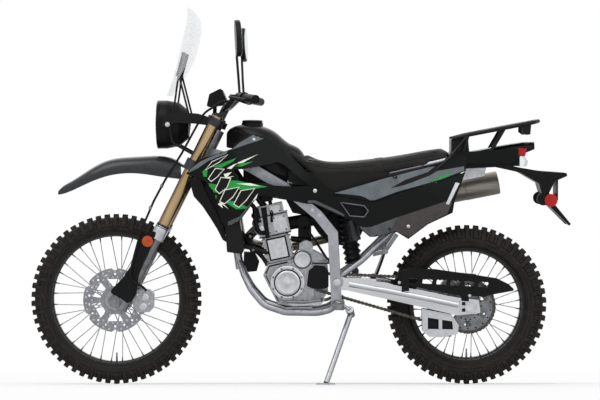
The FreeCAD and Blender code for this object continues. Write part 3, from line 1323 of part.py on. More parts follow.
build_front_wheel()
build_rear_wheel()
build_fork()
build_clamps()
build_controls()
build_mirrors()
build_headlight()
doc.recompute()
build_screen()
build_instrument()
build_front_fender()
build_fork_guards()
build_fork_reflectors()
build_front_caliper()
build_frame()
build_cradle()
build_subframe()
build_swingarm()
build_inner_fender()
build_shock()
build_engine()
build_exhaust()
build_radiators()
build_coolant_hose()
build_intake()
build_tank()
build_shrouds()
build_seat()
build_side_covers()
build_tail()
build_rear_fender()
build_heat_shield()
build_rack()
build_chain()
build_sprocket_cover()
build_chain_guards()
build_foot_controls()
build_rear_caliper()
build_side_stand()

doc.recompute()
parked, bounds = park(parts)
export(parts)
print("size %.1f %.1f %.1f mm" % (bounds.XLength, bounds.YLength, bounds.ZLength))
report_point("steering", parked, in_fork(0, 0, d.lower_clamp).Base, axis_up)
report_point("front_wheel", parked, front_axle, vec(0, 1, 0))
report_point("rear_wheel", parked, rear_axle, vec(0, 1, 0))
report_point("side_stand", parked, stand_hinge, stand_axis)
report_point("rack", parked, rack_centre, rack_normal)
report_point("origin", parked, vec(0, 0, 0), vec(0, 0, 1))
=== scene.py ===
# Looks of the dual sport motorcycle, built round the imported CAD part.
# Shapes are given in bike millimetres: X to the rear from the front axle, Y to the right, Z up from
# the ground, with the bike upright. LEANING carries them to where the bike leans on its stand, with
# the point below the front axle at FRONT_FOOT, in metres.
# A side is -1 on the left and 1 on the right.
import math

import bmesh
import bpy
import numpy as np
from mathutils import Matrix, Vector
from mathutils.bvhtree import BVHTree
from mathutils.geometry import delaunay_2d_cdt


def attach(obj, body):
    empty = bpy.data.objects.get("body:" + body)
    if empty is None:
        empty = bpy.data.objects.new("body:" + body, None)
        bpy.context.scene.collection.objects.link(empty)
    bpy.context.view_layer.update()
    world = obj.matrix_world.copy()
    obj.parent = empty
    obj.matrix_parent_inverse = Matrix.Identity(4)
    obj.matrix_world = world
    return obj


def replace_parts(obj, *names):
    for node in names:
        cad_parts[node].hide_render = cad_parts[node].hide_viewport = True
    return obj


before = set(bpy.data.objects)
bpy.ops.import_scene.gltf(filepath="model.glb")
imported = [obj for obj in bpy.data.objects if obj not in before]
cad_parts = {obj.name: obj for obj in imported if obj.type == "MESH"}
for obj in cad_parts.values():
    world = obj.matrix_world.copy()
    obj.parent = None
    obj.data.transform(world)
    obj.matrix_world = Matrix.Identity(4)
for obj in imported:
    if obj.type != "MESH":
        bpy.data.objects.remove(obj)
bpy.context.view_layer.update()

LEAN = math.radians(7)
FRONT_FOOT = (-0.7492, 0.1412, 0.0030)
LEANING = Matrix.Translation(FRONT_FOOT) @ Matrix.Rotation(LEAN, 4, "X") @ Matrix.Scale(0.001, 4)
UPRIGHT = LEANING.inverted()
SIDES = ((-1, "left"), (1, "right"))
AFAR = 600
FRONT_AXLE = Vector((0, 0, 347))
REAR_AXLE = Vector((1430, 0, 324))
RAKE = math.radians(26.5)
RAKE_UP = Vector((math.sin(RAKE), 0, math.cos(RAKE)))
RAKE_BACK = Vector((math.cos(RAKE), 0, -math.sin(RAKE)))
STEERING_FOOT = FRONT_AXLE + RAKE_BACK * 62
FORK_LINE = 20
FORK_SIDE = 97
TREAD = 14
SPOKES = 36
SPOKE_LACING = math.radians(62)
SPOKE_CIRCLE = 26
SPOKE_FLANGE = 32
CYLINDER_FOOT = Vector((672, 0, 500))
CYLINDER_TILT = math.radians(12)
DRIVE_AXLE = Vector((838, 0, 421))
CHAIN_SMALL = 35.7
CHAIN_BIG = 106.2
CHAIN_LINE = -78
CHAIN_PITCH = 15.875
SEAT_CELL = 0.006
SEAT_DRAWN_IN = 0.004
SEAT_SWELL = 0.007
CLOTH_PRESSURE = 4
CLOTH_STEPS = 20
FLOOR_REACH = 60
# Directions of the painted shade on metals: faces turned from UPWARD are painted darker, as if lit from
# above; on the fork tubes faces along ACROSS_FORK are.
UPWARD = (0, -0.12, 0.99)
ACROSS_FORK = tuple(RAKE_BACK)


# Materials

def tone(red, green, blue):
    """A screen colour of 0 to 255 a channel, as linear light."""
    shares = [c / 255 for c in (red, green, blue)]
    return tuple(c / 12.92 if c <= 0.04 else ((c + 0.055) / 1.055) ** 2.4 for c in shares) + (1.0,)


def add_node(tree, kind, operation=None, **sockets):
    """A shader node with values on its sockets, where an underscore stands for a space."""
    node = tree.nodes.new(kind)
    if operation:
        node.operation = operation
    for socket, value in sockets.items():
        node.inputs[socket.replace("_", " ")].default_value = value
    return node


def add_ramp(tree, dark, light):
    """A colour ramp between two tones."""
    ramp = add_node(tree, "ShaderNodeValToRGB")
    ramp.color_ramp.elements[0].color = dark
    ramp.color_ramp.elements[1].color = light
    return ramp


def link(tree, start, out, end, into):
    tree.links.new(start.outputs[out], end.inputs[into])


def emptied(owner):
    """The node tree of a material or world, switched on and empty."""
    owner.use_nodes = True
    owner.node_tree.nodes.clear()
    return owner.node_tree


class Look:
    """A procedural material that varies with noise in object space."""

    def __init__(self, name, **sockets):
        self.material = bpy.data.materials.new(name)
        self.tree = emptied(self.material)
        self.output = self.add("ShaderNodeOutputMaterial")
        self.shader = self.add("ShaderNodeBsdfPrincipled", **sockets)
        self.link(self.shader, "BSDF", self.output, "Surface")
        self.place = self.add("ShaderNodeTexCoord")

    def add(self, kind, operation=None, **sockets):
        return add_node(self.tree, kind, operation, **sockets)

    def link(self, start, out, end, into):
        link(self.tree, start, out, end, into)

    def noise(self, scale, stretch=(1, 1, 1)):
        """Noise along the bike's own axes, scaled along each."""
        turn = self.add("ShaderNodeMapping", Rotation=(-LEAN, 0, 0))
        turn.vector_type = "POINT"
        space = self.add("ShaderNodeMapping", Scale=stretch)
        grain = self.add("ShaderNodeTexNoise", Scale=scale, Detail=4.0)
        self.link(self.place, "Object", turn, "Vector")
        self.link(turn, "Vector", space, "Vector")
        self.link(space, "Vector", grain, "Vector")
        return grain

    def spread(self, source, out, low, high, start=0.0, end=1.0):
        """Maps a value between low and high onto start to end."""
        node = self.add("ShaderNodeMapRange", From_Min=low, From_Max=high, To_Min=start, To_Max=end)
        self.link(source, out, node, "Value")
        return node

    def colour(self, grain, dark, light):
        ramp = add_ramp(self.tree, dark, light)
        self.link(self.spread(grain, "Fac", 0.3, 0.7), "Result", ramp, "Fac")
        self.link(ramp, "Color", self.shader, "Base Color")

    def roughness(self, grain, low, high):
        self.link(self.spread(grain, "Fac", 0.35, 0.65, low, high), "Result", self.shader, "Roughness")

    def paint_facing_shade(self, way, dark, fold):
        """Paints shade into the colour: darker where faces turn against a direction, or along it either way
        when folded.
        """
        turn = self.add("ShaderNodeVectorMath", "DOT_PRODUCT")
        turn.inputs[1].default_value = way
        self.link(self.place, "Normal", turn, 0)
        if fold:
            size = self.add("ShaderNodeMath", "ABSOLUTE")
            self.link(turn, "Value", size, 0)
            light = self.spread(size, "Value", 0.25, 1, 1, dark)
        else:
            light = self.spread(turn, "Value", -1, 0.05, dark, 1)
        both = self.add("ShaderNodeVectorMath", "SCALE")
        self.tree.links.new(self.shader.inputs["Base Color"].links[0].from_socket, both.inputs[0])
        self.link(light, "Result", both, "Scale")
        self.link(both, "Vector", self.shader, "Base Color")

    def relief(self, grain, strength, depth):
        bump = self.add("ShaderNodeBump", Strength=strength, Distance=depth)
        self.link(grain, "Fac", bump, "Height")
        self.link(bump, "Normal", self.shader, "Normal")


def surface(name, dark, light, rough, scale, relief=0, sheen=0.5, metal=0.0, shade=None, way=UPWARD,
            fold=False, stretch=(1, 1, 1), depth=0.001):
    """Mottled between two colours and two roughnesses, with a fine grain; shade is painted by how faces
    turn.
    """
    look = Look(name, Specular_IOR_Level=sheen, Metallic=metal)
    fine = look.noise(scale, stretch)
    look.colour(look.noise(scale * 0.12, stretch), tone(*dark), tone(*light))
    look.roughness(fine, *rough)
    # painted shade: the colour darkens by the way each face turns
    if shade is not None:
        look.paint_facing_shade(way, shade, fold)
    if relief:
        look.relief(fine, relief, depth)
    return look.material


def clear_glass(name, tint, rough, sheen):
    """Clear sheet that lets light through without bending it."""
    look = Look(name)
    grain = look.noise(90)
    look.colour(grain, tint, tint)
    look.roughness(grain, *rough)
    through = look.add("ShaderNodeBsdfTransparent", Color=tint)
    edge = look.add("ShaderNodeFresnel", IOR=1.45)
    mix = look.add("ShaderNodeMixShader")
    look.link(look.spread(edge, "Fac", 0, 1, 0.04, sheen), "Result", mix, "Fac")
    look.link(through, "BSDF", mix, 1)
    look.link(look.shader, "BSDF", mix, 2)
    look.link(mix, "Shader", look.output, "Surface")
    return look.material


# Plastics, rubbers and prints: name, two colours, two roughnesses, grain, relief, sheen
rubber = surface("tyre_rubber", (25, 22, 20), (37, 33, 30), (0.6, 0.8), 260, 0.3, 0.2)
soft_black = surface("soft_rubber", (12, 12, 12), (20, 20, 20), (0.5, 0.65), 300, 0.2, 0.14)
black_plastic = surface("black_plastic", (12, 12, 12), (19, 19, 19), (0.34, 0.46), 700, 0.15, 0.11)
gloss_black = surface("gloss_black", (9, 11, 11), (13, 15, 15), (0.16, 0.24), 30, 0, 0.11)
satin_black = surface("satin_black_metal", (11, 11, 12), (18, 18, 19), (0.28, 0.4), 240, 0.05, 0.18)
tank_skin = surface("tank_skin", (17, 15, 15), (24, 22, 22), (0.26, 0.34), 500, 0.04, 0.13)
# The front fender: its own black lifted to a dark slate grey, partly a painted reflection on its top.
fender_black_and_painted_sheen = surface("fender_black_and_painted_sheen", (34, 36, 38), (44, 47, 49), (0.22, 0.3), 500, 0, 0.3)
vinyl = surface("seat_vinyl", (19, 18, 17), (28, 26, 25), (0.5, 0.62), 900, 0.5, 0.16, depth=0.0006)
black_rim = surface("black_rim", (12, 12, 13), (19, 19, 20), (0.26, 0.36), 120, 0, 0.25)
# a pale grey for the rings on the black rims' flanges: painted highlight
lip_highlight_grey = surface("lip_highlight_grey", (58, 57, 55), (78, 77, 75), (0.3, 0.4), 200, 0, 0.3)
red_lens = surface("red_lens", (146, 14, 14), (178, 26, 22), (0.1, 0.16), 200, 0.04, 0.25)
amber_lens = surface("amber_lens", (160, 62, 22), (184, 80, 32), (0.1, 0.16), 200, 0.04, 0.25)
green_print = surface("green_print", (18, 122, 50), (34, 152, 68), (0.24, 0.32), 60, 0, 0.25)
pale_print = surface("pale_print", (214, 218, 200), (236, 238, 222), (0.24, 0.32), 60, 0, 0.25)
black_print = surface("black_print", (8, 8, 8), (14, 13, 12), (0.24, 0.32), 60, 0, 0.16)
grey_print = surface("grey_print", (66, 70, 72), (84, 88, 90), (0.26, 0.34), 200, 0, 0.25, metal=0.2)
slate_print = surface("slate_print", (84, 91, 95), (104, 111, 115), (0.26, 0.34), 200, 0, 0.25, metal=0.2)
brown_print = surface("brown_print", (56, 52, 52), (68, 63, 63), (0.3, 0.4), 300, 0, 0.25)

# Metals and glass
# Most metals carry painted shade: faces turned downward are painted darker.
silver_paint = surface("silver_paint", (150, 151, 157), (170, 171, 177), (0.3, 0.4), 350, 0.03,
                       metal=0.75, shade=0.35)
cast_alloy = surface("cast_alloy", (144, 145, 148), (172, 173, 176), (0.34, 0.46), 900, 0.15,
                     metal=0.85, shade=0.3)
cover_alloy = surface("cover_alloy", (182, 184, 188), (202, 204, 208), (0.28, 0.38), 500, 0.04,
                      metal=0.8, shade=0.45)
bright_alloy = surface("bright_alloy", (188, 189, 193), (214, 215, 218), (0.16, 0.28), 160, 0.02,
                       metal=0.95, shade=0.3, stretch=(0.1, 1, 1))
dark_alloy = surface("dark_alloy", (44, 45, 48), (64, 66, 69), (0.34, 0.46), 300, 0.08, metal=0.8)
dull_steel = surface("dull_steel", (104, 105, 108), (134, 136, 139), (0.34, 0.46), 300, 0.05,
                     metal=0.85, shade=0.4)
spoke_steel = surface("spoke_steel", (70, 70, 72), (104, 105, 107), (0.25, 0.35), 200, metal=0.9)
disc_steel = surface("disc_steel", (176, 178, 182), (204, 206, 210), (0.24, 0.36), 500, 0.03,
                     metal=0.95, shade=0.4)
drilled_steel = surface("drilled_steel", (124, 125, 130), (150, 151, 156), (0.3, 0.4), 500, 0.03,
                        metal=0.9, shade=0.4)
# The fork tubes: painted shade on their front and rear edges, leaving a painted highlight down their sides.
gold_tube = surface("gold_tube", (150, 124, 88), (186, 160, 122), (0.14, 0.24), 60, metal=0.95,
                    shade=0.42, way=ACROSS_FORK, fold=True, stretch=(1, 1, 0.1))
brushed_steel = surface("brushed_steel", (134, 128, 120), (160, 154, 147), (0.42, 0.5), 700, 0.01,
                        metal=0.9, shade=0.3, stretch=(0.05, 1, 1))
heated_steel = surface("heated_steel", (112, 103, 92), (150, 143, 132), (0.25, 0.4), 120, 0.03,
                       metal=0.95, shade=0.3)
chain_steel = surface("chain_steel", (54, 52, 49), (88, 85, 79), (0.3, 0.45), 500, 0.08, metal=0.9)
mirror_glass = surface("mirror_glass", (200, 204, 208), (212, 216, 220), (0.02, 0.04), 40, metal=1.0)
lamp_glass = clear_glass("lamp_glass", (0.93, 0.95, 0.96, 1), (0.02, 0.05), 0.85)
screen_sheet = clear_glass("screen_sheet", (0.97, 0.975, 0.98, 1), (0.03, 0.06), 0.3)

CAD_LOOKS = {
    rubber: ("front_tyre", "rear_tyre"),
    black_rim: ("front_rim", "rear_rim"),
    cast_alloy: ("front_hub", "rear_hub", "engine_case", "engine_cylinder", "front_brake", "rear_caliper"),
    drilled_steel: ("front_disc", "rear_disc"),
    disc_steel: ("heat_shield",),
    gold_tube: ("fork_tubes",),
    dull_steel: ("fork_sliders", "rear_sprocket", "foot_controls"),
    dark_alloy: ("triple_clamp", "shock"),
    satin_black: ("handlebar", "windscreen_mount", "mirrors", "rack", "radiators"),
    black_plastic: ("controls", "headlight", "instrument", "fork_guards", "radiator_ducts", "chain_guard",
                    "rear_fender", "fuel_cap", "inner_fender", "intake", "sprocket_cover"),
    soft_black: ("coolant_hose",),
    lamp_glass: ("headlight_lens", "plate_light"),
    screen_sheet: ("windscreen",),
    fender_black_and_painted_sheen: ("front_fender",),
    silver_paint: ("main_frame", "cradle", "subframe", "side_stand"),
    bright_alloy: ("swingarm",),
    brushed_steel: ("muffler",),
    heated_steel: ("exhaust",),
    tank_skin: ("fuel_tank",),
    gloss_black: ("side_cover_left", "side_cover_right", "shroud_left", "shroud_right", "tail"),
    vinyl: ("seat",),
    chain_steel: ("chain",),
    red_lens: ("tail_light", "rear_reflectors"),
    amber_lens: ("fork_reflectors",),
}


def dress_cad():
    """Gives each CAD node its look."""
    for look, names in CAD_LOOKS.items():
        for name in names:
            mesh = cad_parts[name].data
            mesh.materials.clear()
            mesh.materials.append(look)


# Shapes

def turns(count, first=0.0):
    """Even angles round a circle."""
    return [first + 2 * math.pi * i / count for i in range(count)]


def spun(at, axis, profile, sides):
    """Rows of points, one row for each step of (radius, height) pairs about an axis through a point."""
    axes = Vector(axis).to_track_quat("Z", "Y").to_matrix()
    return [[Vector(at) + axes @ Vector((r * math.cos(a), r * math.sin(a), h)) for r, h in profile]
            for a in turns(sides)]


def around(centre, reach, angle, y):
    """A point at a reach and an angle round an axle, and a distance to the right."""
    return centre + Vector((reach * math.cos(angle), y, reach * math.sin(angle)))


def placed(name, data):
    """A new object in the scene."""
    piece = bpy.data.objects.new(name, data)
    bpy.context.scene.collection.objects.link(piece)
    return piece


class Pieces:
    """Gathers shapes in bike millimetres into one mesh."""

    def __init__(self):
        self.points = []
        self.faces = []

    def add(self, points, faces):
        first = len(self.points)
        self.points += [Vector(p) for p in points]
        self.faces += [tuple(first + i for i in face) for face in faces]

    def loft(self, loops, closed=False):
        """Joins loops of as many points, from the last to the first when closed, else with end faces."""
        wide = len(loops[0])
        faces = []
        for row in range(len(loops) if closed else len(loops) - 1):
            here = row * wide
            there = (row + 1) % len(loops) * wide
            for k in range(wide):
                n = (k + 1) % wide
                faces.append((here + k, here + n, there + n, there + k))
        if not closed:
            last = (len(loops) - 1) * wide
            faces += [tuple(range(wide))[::-1], tuple(range(last, last + wide))]
        self.add([p for loop in loops for p in loop], faces)

    def turned(self, at, axis, profile, sides=24):
        """Turns (radius, height) pairs about an axis through a point; the ends are closed."""
        self.loft(list(zip(*spun(at, axis, profile, sides))))

    def ring(self, at, axis, profile, sides=48):
        """Turns a closed loop of (radius, height) pairs about an axis."""
        self.loft(spun(at, axis, profile, sides), closed=True)

    def bolt(self, at, axis, radius, height):
        """A hexagon head on a washer, standing on a face."""
        washer = radius * 1.35
        self.turned(at, axis, [(washer, -1), (washer, height * 0.25), (radius * 1.2, height * 0.32)], 20)
        self.turned(at, axis, [(radius, 0), (radius, height * 0.85), (radius * 0.85, height)], 6)

    def plate(self, outline, side, reach, taper=0.0, thick=3.0):
        """A plate over (x, z) corners on one side; its reach falls by the taper for each mm to the rear."""
        first = outline[0][0]
        self.loft([[Vector((x, side * (reach - taper * (x - first) - back), z)) for x, z in outline]
                   for back in (thick, 0)])

    def slice(self, outline, low, high):
        """A block over (x, z) corners between two distances to the right."""
        self.loft([[Vector((x, y, z)) for x, z in outline] for y in (low, high)])

    def tube(self, path, radius, sides=10, closed=False):
        """A round tube along a polyline, with its ends closed."""
        path = [Vector(p) for p in path]
        count = len(path)
        side = None
        loops = []
        for i, at in enumerate(path):
            ahead = path[(i + 1) % count] if closed or i + 1 < count else at
            behind = path[i - 1] if closed or i else at
            along = (ahead - behind).normalized()
            if side is None:
                side = along.orthogonal().normalized()
            side = (side - along * side.dot(along)).normalized()
            up = along.cross(side)
            loops.append([at + (side * math.cos(a) + up * math.sin(a)) * radius for a in turns(sides)])
        self.loft(loops, closed)

    def strip(self, rows):
        """A sheet through rows of points of equal length."""
        wide = len(rows[0])
        faces = [(r * wide + i, r * wide + i + 1, (r + 1) * wide + i + 1, (r + 1) * wide + i)
                 for r in range(len(rows) - 1) for i in range(wide - 1)]
        self.add([p for row in rows for p in row], faces)

    def make(self, name, body, look, smooth=35):
        """The gathered shapes as an object that rides on a body."""
        mesh = bpy.data.meshes.new(name)
        mesh.from_pydata([LEANING @ p for p in self.points], [], self.faces)
        turned = bmesh.new()
        turned.from_mesh(mesh)
        bmesh.ops.recalc_face_normals(turned, faces=turned.faces)
        turned.to_mesh(mesh)
        turned.free()
        mesh.shade_smooth()
        mesh.set_sharp_from_angle(angle=math.radians(smooth))
        mesh.materials.append(look)
        piece = placed(name, mesh)
        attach(piece, body)
        return piece


def box(x0, x1, z0, z1):
    """The corners of an upright rectangle."""
    return [(x0, z0), (x1, z0), (x1, z1), (x0, z1)]


def curve(points, steps=8):
    """A smooth path through points."""
    points = [Vector(p) for p in points]
    padded = [points[0] * 2 - points[1]] + points + [points[-1] * 2 - points[-2]]
    path = []
    for a, b, c, e in zip(padded, padded[1:], padded[2:], padded[3:]):
        for i in range(steps):
            t = i / steps
            path.append(((b * 2) + (c - a) * t + (a * 2 - b * 5 + c * 4 - e) * t * t
                         + (b * 3 - a - c * 3 + e) * t ** 3) * 0.5)
    return path + [points[-1]]


def bent(points, bend, steps=6):
    """Straight runs joined by tangent arcs of the bend radius, or less where a run is short."""
    points = [Vector(p) for p in points]
    path = [points[0]]
    for before, corner, after in zip(points, points[1:], points[2:]):
        into = (corner - before).normalized()
        out = (after - corner).normalized()
        half_turn = into.angle(out) / 2
        cut = min(bend * math.tan(half_turn), 0.48 * min((corner - before).length, (after - corner).length))
        radius = cut / math.tan(half_turn)
        centre = corner + (out - into).normalized() * (radius / math.cos(half_turn))
        start = corner - into * cut - centre
        end = corner + out * cut - centre
        path += [centre + start.lerp(end, i / steps).normalized() * radius for i in range(steps + 1)]
    return path + [points[-1]]


def skin_of(node):
    """The surface of a CAD node or a piece, in bike millimetres, ready for ray casts."""
    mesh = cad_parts[node].data if isinstance(node, str) else node.data
    points = [UPRIGHT @ v.co for v in mesh.vertices]
    return BVHTree.FromPolygons(points, [tuple(p.vertices) for p in mesh.polygons])


def met(skin, x, z, side):
    """Where a skin is first met from one side, with its outward normal, or two Nones."""
    hit, normal, _, _ = skin.ray_cast(Vector((x, side * AFAR, z)), Vector((0, -side, 0)))
    if hit is not None and normal.y * side < 0:
        normal = -normal
    return hit, normal


def inside(point, outline):
    """Whether a flat point lies in a closed outline."""
    hit = False
    for (x0, z0), (x1, z1) in zip(outline, outline[1:] + outline[:1]):
        if (z0 > point[1]) != (z1 > point[1]) and point[0] < (x1 - x0) * (point[1] - z0) / (z1 - z0) + x0:
            hit = not hit
    return hit


def sticker(gathered, skin, outline, side, lift, grid=6):
    """Lays an (x, z) outline flat on the outer face of a skin, seen from one side."""
    edge = []
    for (x0, z0), (x1, z1) in zip(outline, outline[1:] + outline[:1]):
        steps = max(1, int(math.hypot(x1 - x0, z1 - z0) / grid))
        edge += [(x0 + (x1 - x0) * i / steps, z0 + (z1 - z0) * i / steps) for i in range(steps)]
    xs = [p[0] for p in edge]
    zs = [p[1] for p in edge]
    middle = [(x, z) for x in np.arange(min(xs) + grid / 2, max(xs), grid)
              for z in np.arange(min(zs) + grid / 2, max(zs), grid)
              if inside((x, z), edge) and min(abs(x - a) + abs(z - b) for a, b in edge) > grid * 0.6]
    flat = [Vector(p) for p in edge + middle]
    made = delaunay_2d_cdt(flat, [], [list(range(len(edge)))], 1, 1e-4)
    spots = []
    for p in made[0]:
        hit, normal = met(skin, p.x, p.y, side)
        spots.append(None if hit is None else hit + normal * lift)
    keep = [f for f in made[2] if all(spots[i] is not None for i in f)]
    keep = [f for f in keep if max(abs(spots[i].y - spots[j].y) for i in f for j in f) < grid * 1.6]
    used = sorted({i for f in keep for i in f})
    number = {old: new for new, old in enumerate(used)}
    gathered.add([spots[i] for i in used], [tuple(number[i] for i in f) for f in keep])


def inset(outline, by):
    """The outline moved inward along each side."""
    area = sum(x0 * z1 - x1 * z0 for (x0, z0), (x1, z1) in zip(outline, outline[1:] + outline[:1]))
    turn = 1 if area > 0 else -1
    moved = []
    for before, here, after in zip(outline[-1:] + outline[:-1], outline, outline[1:] + outline[:1]):
        a = (Vector(here) - Vector(before)).normalized()
        b = (Vector(after) - Vector(here)).normalized()
        way = (Vector((-a.y, a.x)) + Vector((-b.y, b.x))) * turn
        reach = by / max(0.35, (1 + a.dot(b)) / 2) ** 0.5
        moved.append(tuple(Vector(here) + way.normalized() * reach))
    return moved


# Wheels

def tyre(node, body, centre, bead, radius, half_width, blocks):
    """A round carcass with ribs on its walls and tall blocks across its tread and shoulders."""
    base = radius - TREAD
    walls = [(bead, half_width * 0.62), (bead + 9, half_width * 0.72), (bead + 13, half_width * 0.84),
             (bead + 24, half_width * 0.92), (bead + 42, half_width * 0.93), (base - 16, half_width * 0.84),
             (base - 5, half_width * 0.64), (base, half_width * 0.34)]
    lining = [(bead + 14, -half_width * 0.5), (base - 14, -half_width * 0.4), (base - 14, half_width * 0.4),
              (bead + 14, half_width * 0.5)]
    carcass = Pieces()
    loop = walls + [(base + 1, 0)] + [(r, -y) for r, y in walls[::-1]] + lining
    carcass.ring(centre, (0, 1, 0), loop, 120)
    for side in (-1, 1):
        for reach, width in ((bead + 17, 0.88), (bead + 30, 0.94), (bead + 47, 0.93)):
            rib = [(reach - 1.4, width - 0.05), (reach, width + 0.015), (reach + 1.4, width - 0.05)]
            carcass.ring(centre, (0, 1, 0), [(r, side * half_width * w) for r, w in rib], 120)

    def spot(angle, reach, y):
        return centre + Vector((reach * math.sin(angle), y, -reach * math.cos(angle)))

    def block(angle, half_angle, rows):
        """A tapered block over (foot reach, top reach, y) rows."""
        loops = []
        for spread, level in ((half_angle, 0), (half_angle * 0.84, 1)):
            loops.append([spot(angle - spread, row[level], row[2]) for row in rows]
                         + [spot(angle + spread, row[level], row[2]) for row in rows[::-1]])
        carcass.loft(loops)

    pitch = 2 * math.pi / blocks
    for i, angle in enumerate(turns(blocks)):
        inner, outer = (0.04, 0.3) if i % 2 else (0.14, 0.42)
        longer = 7 if i % 2 else 0
        for side in (-1, 1):
            wide = side * half_width
            block(angle, pitch * 0.31, [(base - 5, radius, wide * y) for y in (inner, outer)])
            shoulder = [(base - 7, radius - 3, wide * 0.5), (base - 12, radius - 7, wide * 0.76),
                        (base - 22, base - 5, wide * 0.98),
                        (base - 34 - longer, base - 23 - longer, wide * 0.99)]
            block(angle, pitch * 0.26, shoulder)
            lower = [(base - 18, base - 9, wide * 0.85), (base - 34, base - 25, wide * 0.955)]
            block(angle + pitch / 2, pitch * 0.14, lower)
    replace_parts(carcass.make(node + "_blocks", body, rubber, 30), node)


def nipples(name, body, centre, reach):
    """The threaded ends of the spokes at the rim, and the valve."""
    ends = Pieces()
    for i, at_rim in enumerate(turns(SPOKES, math.pi / SPOKES)):
        side = 1 if i % 2 else -1
        cross = 1 if (i // 2) % 2 else -1
        at_hub = at_rim + cross * SPOKE_LACING
        start = around(centre, SPOKE_CIRCLE, at_hub, side * SPOKE_FLANGE + cross * 2.2)
        end = around(centre, reach, at_rim, side * 6)
        ends.turned(end, start - end, [(3.4, -4), (3.4, 4), (2.6, 6), (2.4, 15), (1.9, 16)], 10)
    valve = [(4, -4), (4, 18), (3, 20), (3, 34), (2.4, 36)]
    ends.turned(centre - Vector((0, 0, reach)), (0, 0, 1), valve, 12)
    ends.make(name, body, spoke_steel)


def rim_lip_highlights(node, body, centre, reach):
    """A pale grey ring where the rim's flange meets the tyre: a painted highlight for the light it catches.
    """
    skin = skin_of(node)
    lip_highlights = Pieces()
    for side in (-1, 1):
        hit, _ = met(skin, centre.x + reach, centre.z, side)
        profile = [(reach - 3, -1), (reach - 2, 1), (reach + 2, 1), (reach + 3, -1)]
        lip_highlights.ring(centre + Vector((0, hit.y, 0)), (0, side, 0), profile, 120)
    lip_highlights.make(node + "_lips", body, lip_highlight_grey)


def disc_holes(name, body, centre, side, rows, count, look):
    """Small bores seen on both faces of a disc or sprocket, the second row half a step on."""
    bores = Pieces()
    for row, (reach, size) in enumerate(rows):
        for a in turns(count, math.pi * row / count):
            bores.turned(around(centre, reach, a, side), (0, 1, 0), [(size, -2.3), (size, 2.3)], 12)
    bores.make(name, body, look)


def wheels():
    """Tyres with their blocks, bores in the discs, and what shows at the rims."""
    tyre("front_tyre", "front_wheel", FRONT_AXLE, bead=267, radius=347, half_width=43, blocks=58)
    tyre("rear_tyre", "rear_wheel", REAR_AXLE, bead=228, radius=324, half_width=58, blocks=54)
    disc_holes("front_disc_bores", "front_wheel", FRONT_AXLE, -62, ((94, 3.6), (119, 3.8)), 30, cover_alloy)
    disc_holes("rear_disc_bores", "rear_wheel", REAR_AXLE, 72, ((82, 3), (101, 3)), 24, cover_alloy)
    # Black discs for the sprocket's holes: painted shade seen through them.
    disc_holes("sprocket_bores", "rear_wheel", REAR_AXLE, -78, ((54, 3.5), (92, 3.5)), 18, black_print)
    # Pale rings on the rim flanges: painted highlight.
    rim_lip_highlights("front_rim", "front_wheel", FRONT_AXLE, 262)
    rim_lip_highlights("rear_rim", "rear_wheel", REAR_AXLE, 223)
    nipples("front_nipples", "front_wheel", FRONT_AXLE, 256)
    nipples("rear_nipples", "rear_wheel", REAR_AXLE, 217)


# Steering

def fork_spot(side, height):
    """A point on the fork leg's centre line, at a height along the steering axis."""
    return STEERING_FOOT + RAKE_UP * height - RAKE_BACK * FORK_LINE + Vector((0, side * FORK_SIDE, 0))


def fork_details():
    """Collars, seals and caps of the fork legs."""
    seals = Pieces()
    collars = Pieces()
    collar = [(24.6, -22), (29.6, -16), (30, 0), (29.8, 30), (27.5, 38), (26, 40)]
    seal = [(25.4, 38.5), (27.4, 40), (27.4, 46), (25.6, 49)]
    cap = [(24.6, -1), (24.6, 3), (22, 6), (12, 7), (12, 12), (9, 14)]
    for side in (-1, 1):
        collars.turned(fork_spot(side, 317), RAKE_UP, collar, 40)
        seals.turned(fork_spot(side, 317), RAKE_UP, seal, 40)
        seals.turned(fork_spot(side, 852), RAKE_UP, cap, 32)
    collars.make("fork_collars", "steering", disc_steel)
    seals.make("fork_seals", "steering", dark_alloy)


def guard_details():
    """Amber lenses on the fork guards and the round lobes of the caliper."""
    lenses = Pieces()
    lens = [(22.5, -4), (22.5, 0.6), (21, 2), (12, 2.6), (4, 2.8)]
    for side in (-1, 1):
        middle, _ = met(skin_of("fork_reflectors"), 132, 592, side)
        lenses.turned(middle + Vector((6, 0, -2)), (0, side, 0), lens, 40)
    lenses.make("fork_lenses", "steering", amber_lens)
    lobes = Pieces()
    caliper = skin_of("front_brake")
    for x, z, radius in ((124, 360, 15), (116, 322, 15), (92, 372, 7), (140, 334, 6)):
        middle, _ = met(caliper, x, z, -1)
        lobe = [(radius, -3), (radius, 2), (radius * 0.8, 3.4), (radius * 0.3, 3.8)]
        lobes.turned(middle, (0, -1, 0), lobe, 28)
    lobes.make("caliper_lobes", "steering", cover_alloy)


def brake_hose():
    """The sheath over the hose from the lever down to the caliper."""
    route = [(492, -212, 1152), (440, -190, 1150), (365, -132, 1104), (276, -127, 943), (205, -127, 829),
             (163, -127, 751), (143, -132, 704), (112, -138, 632), (84, -138, 530), (62, -138, 440),
             (118, -138, 408), (126, -110, 396), (126, -72, 384)]
    hose = Pieces()
    hose.tube(bent(route, 60), 4.7, 12)
    hose.make("brake_hose", "steering", soft_black)
    clips = Pieces()
    for x, y, z in ((196, -127, 813), (150, -130, 725)):
        clips.turned((x, y, z), (0.45, 0, 0.89), [(5, -7), (6.6, -6), (6.6, 6), (5, 7)], 16)
    clips.make("hose_clips", "steering", dull_steel)


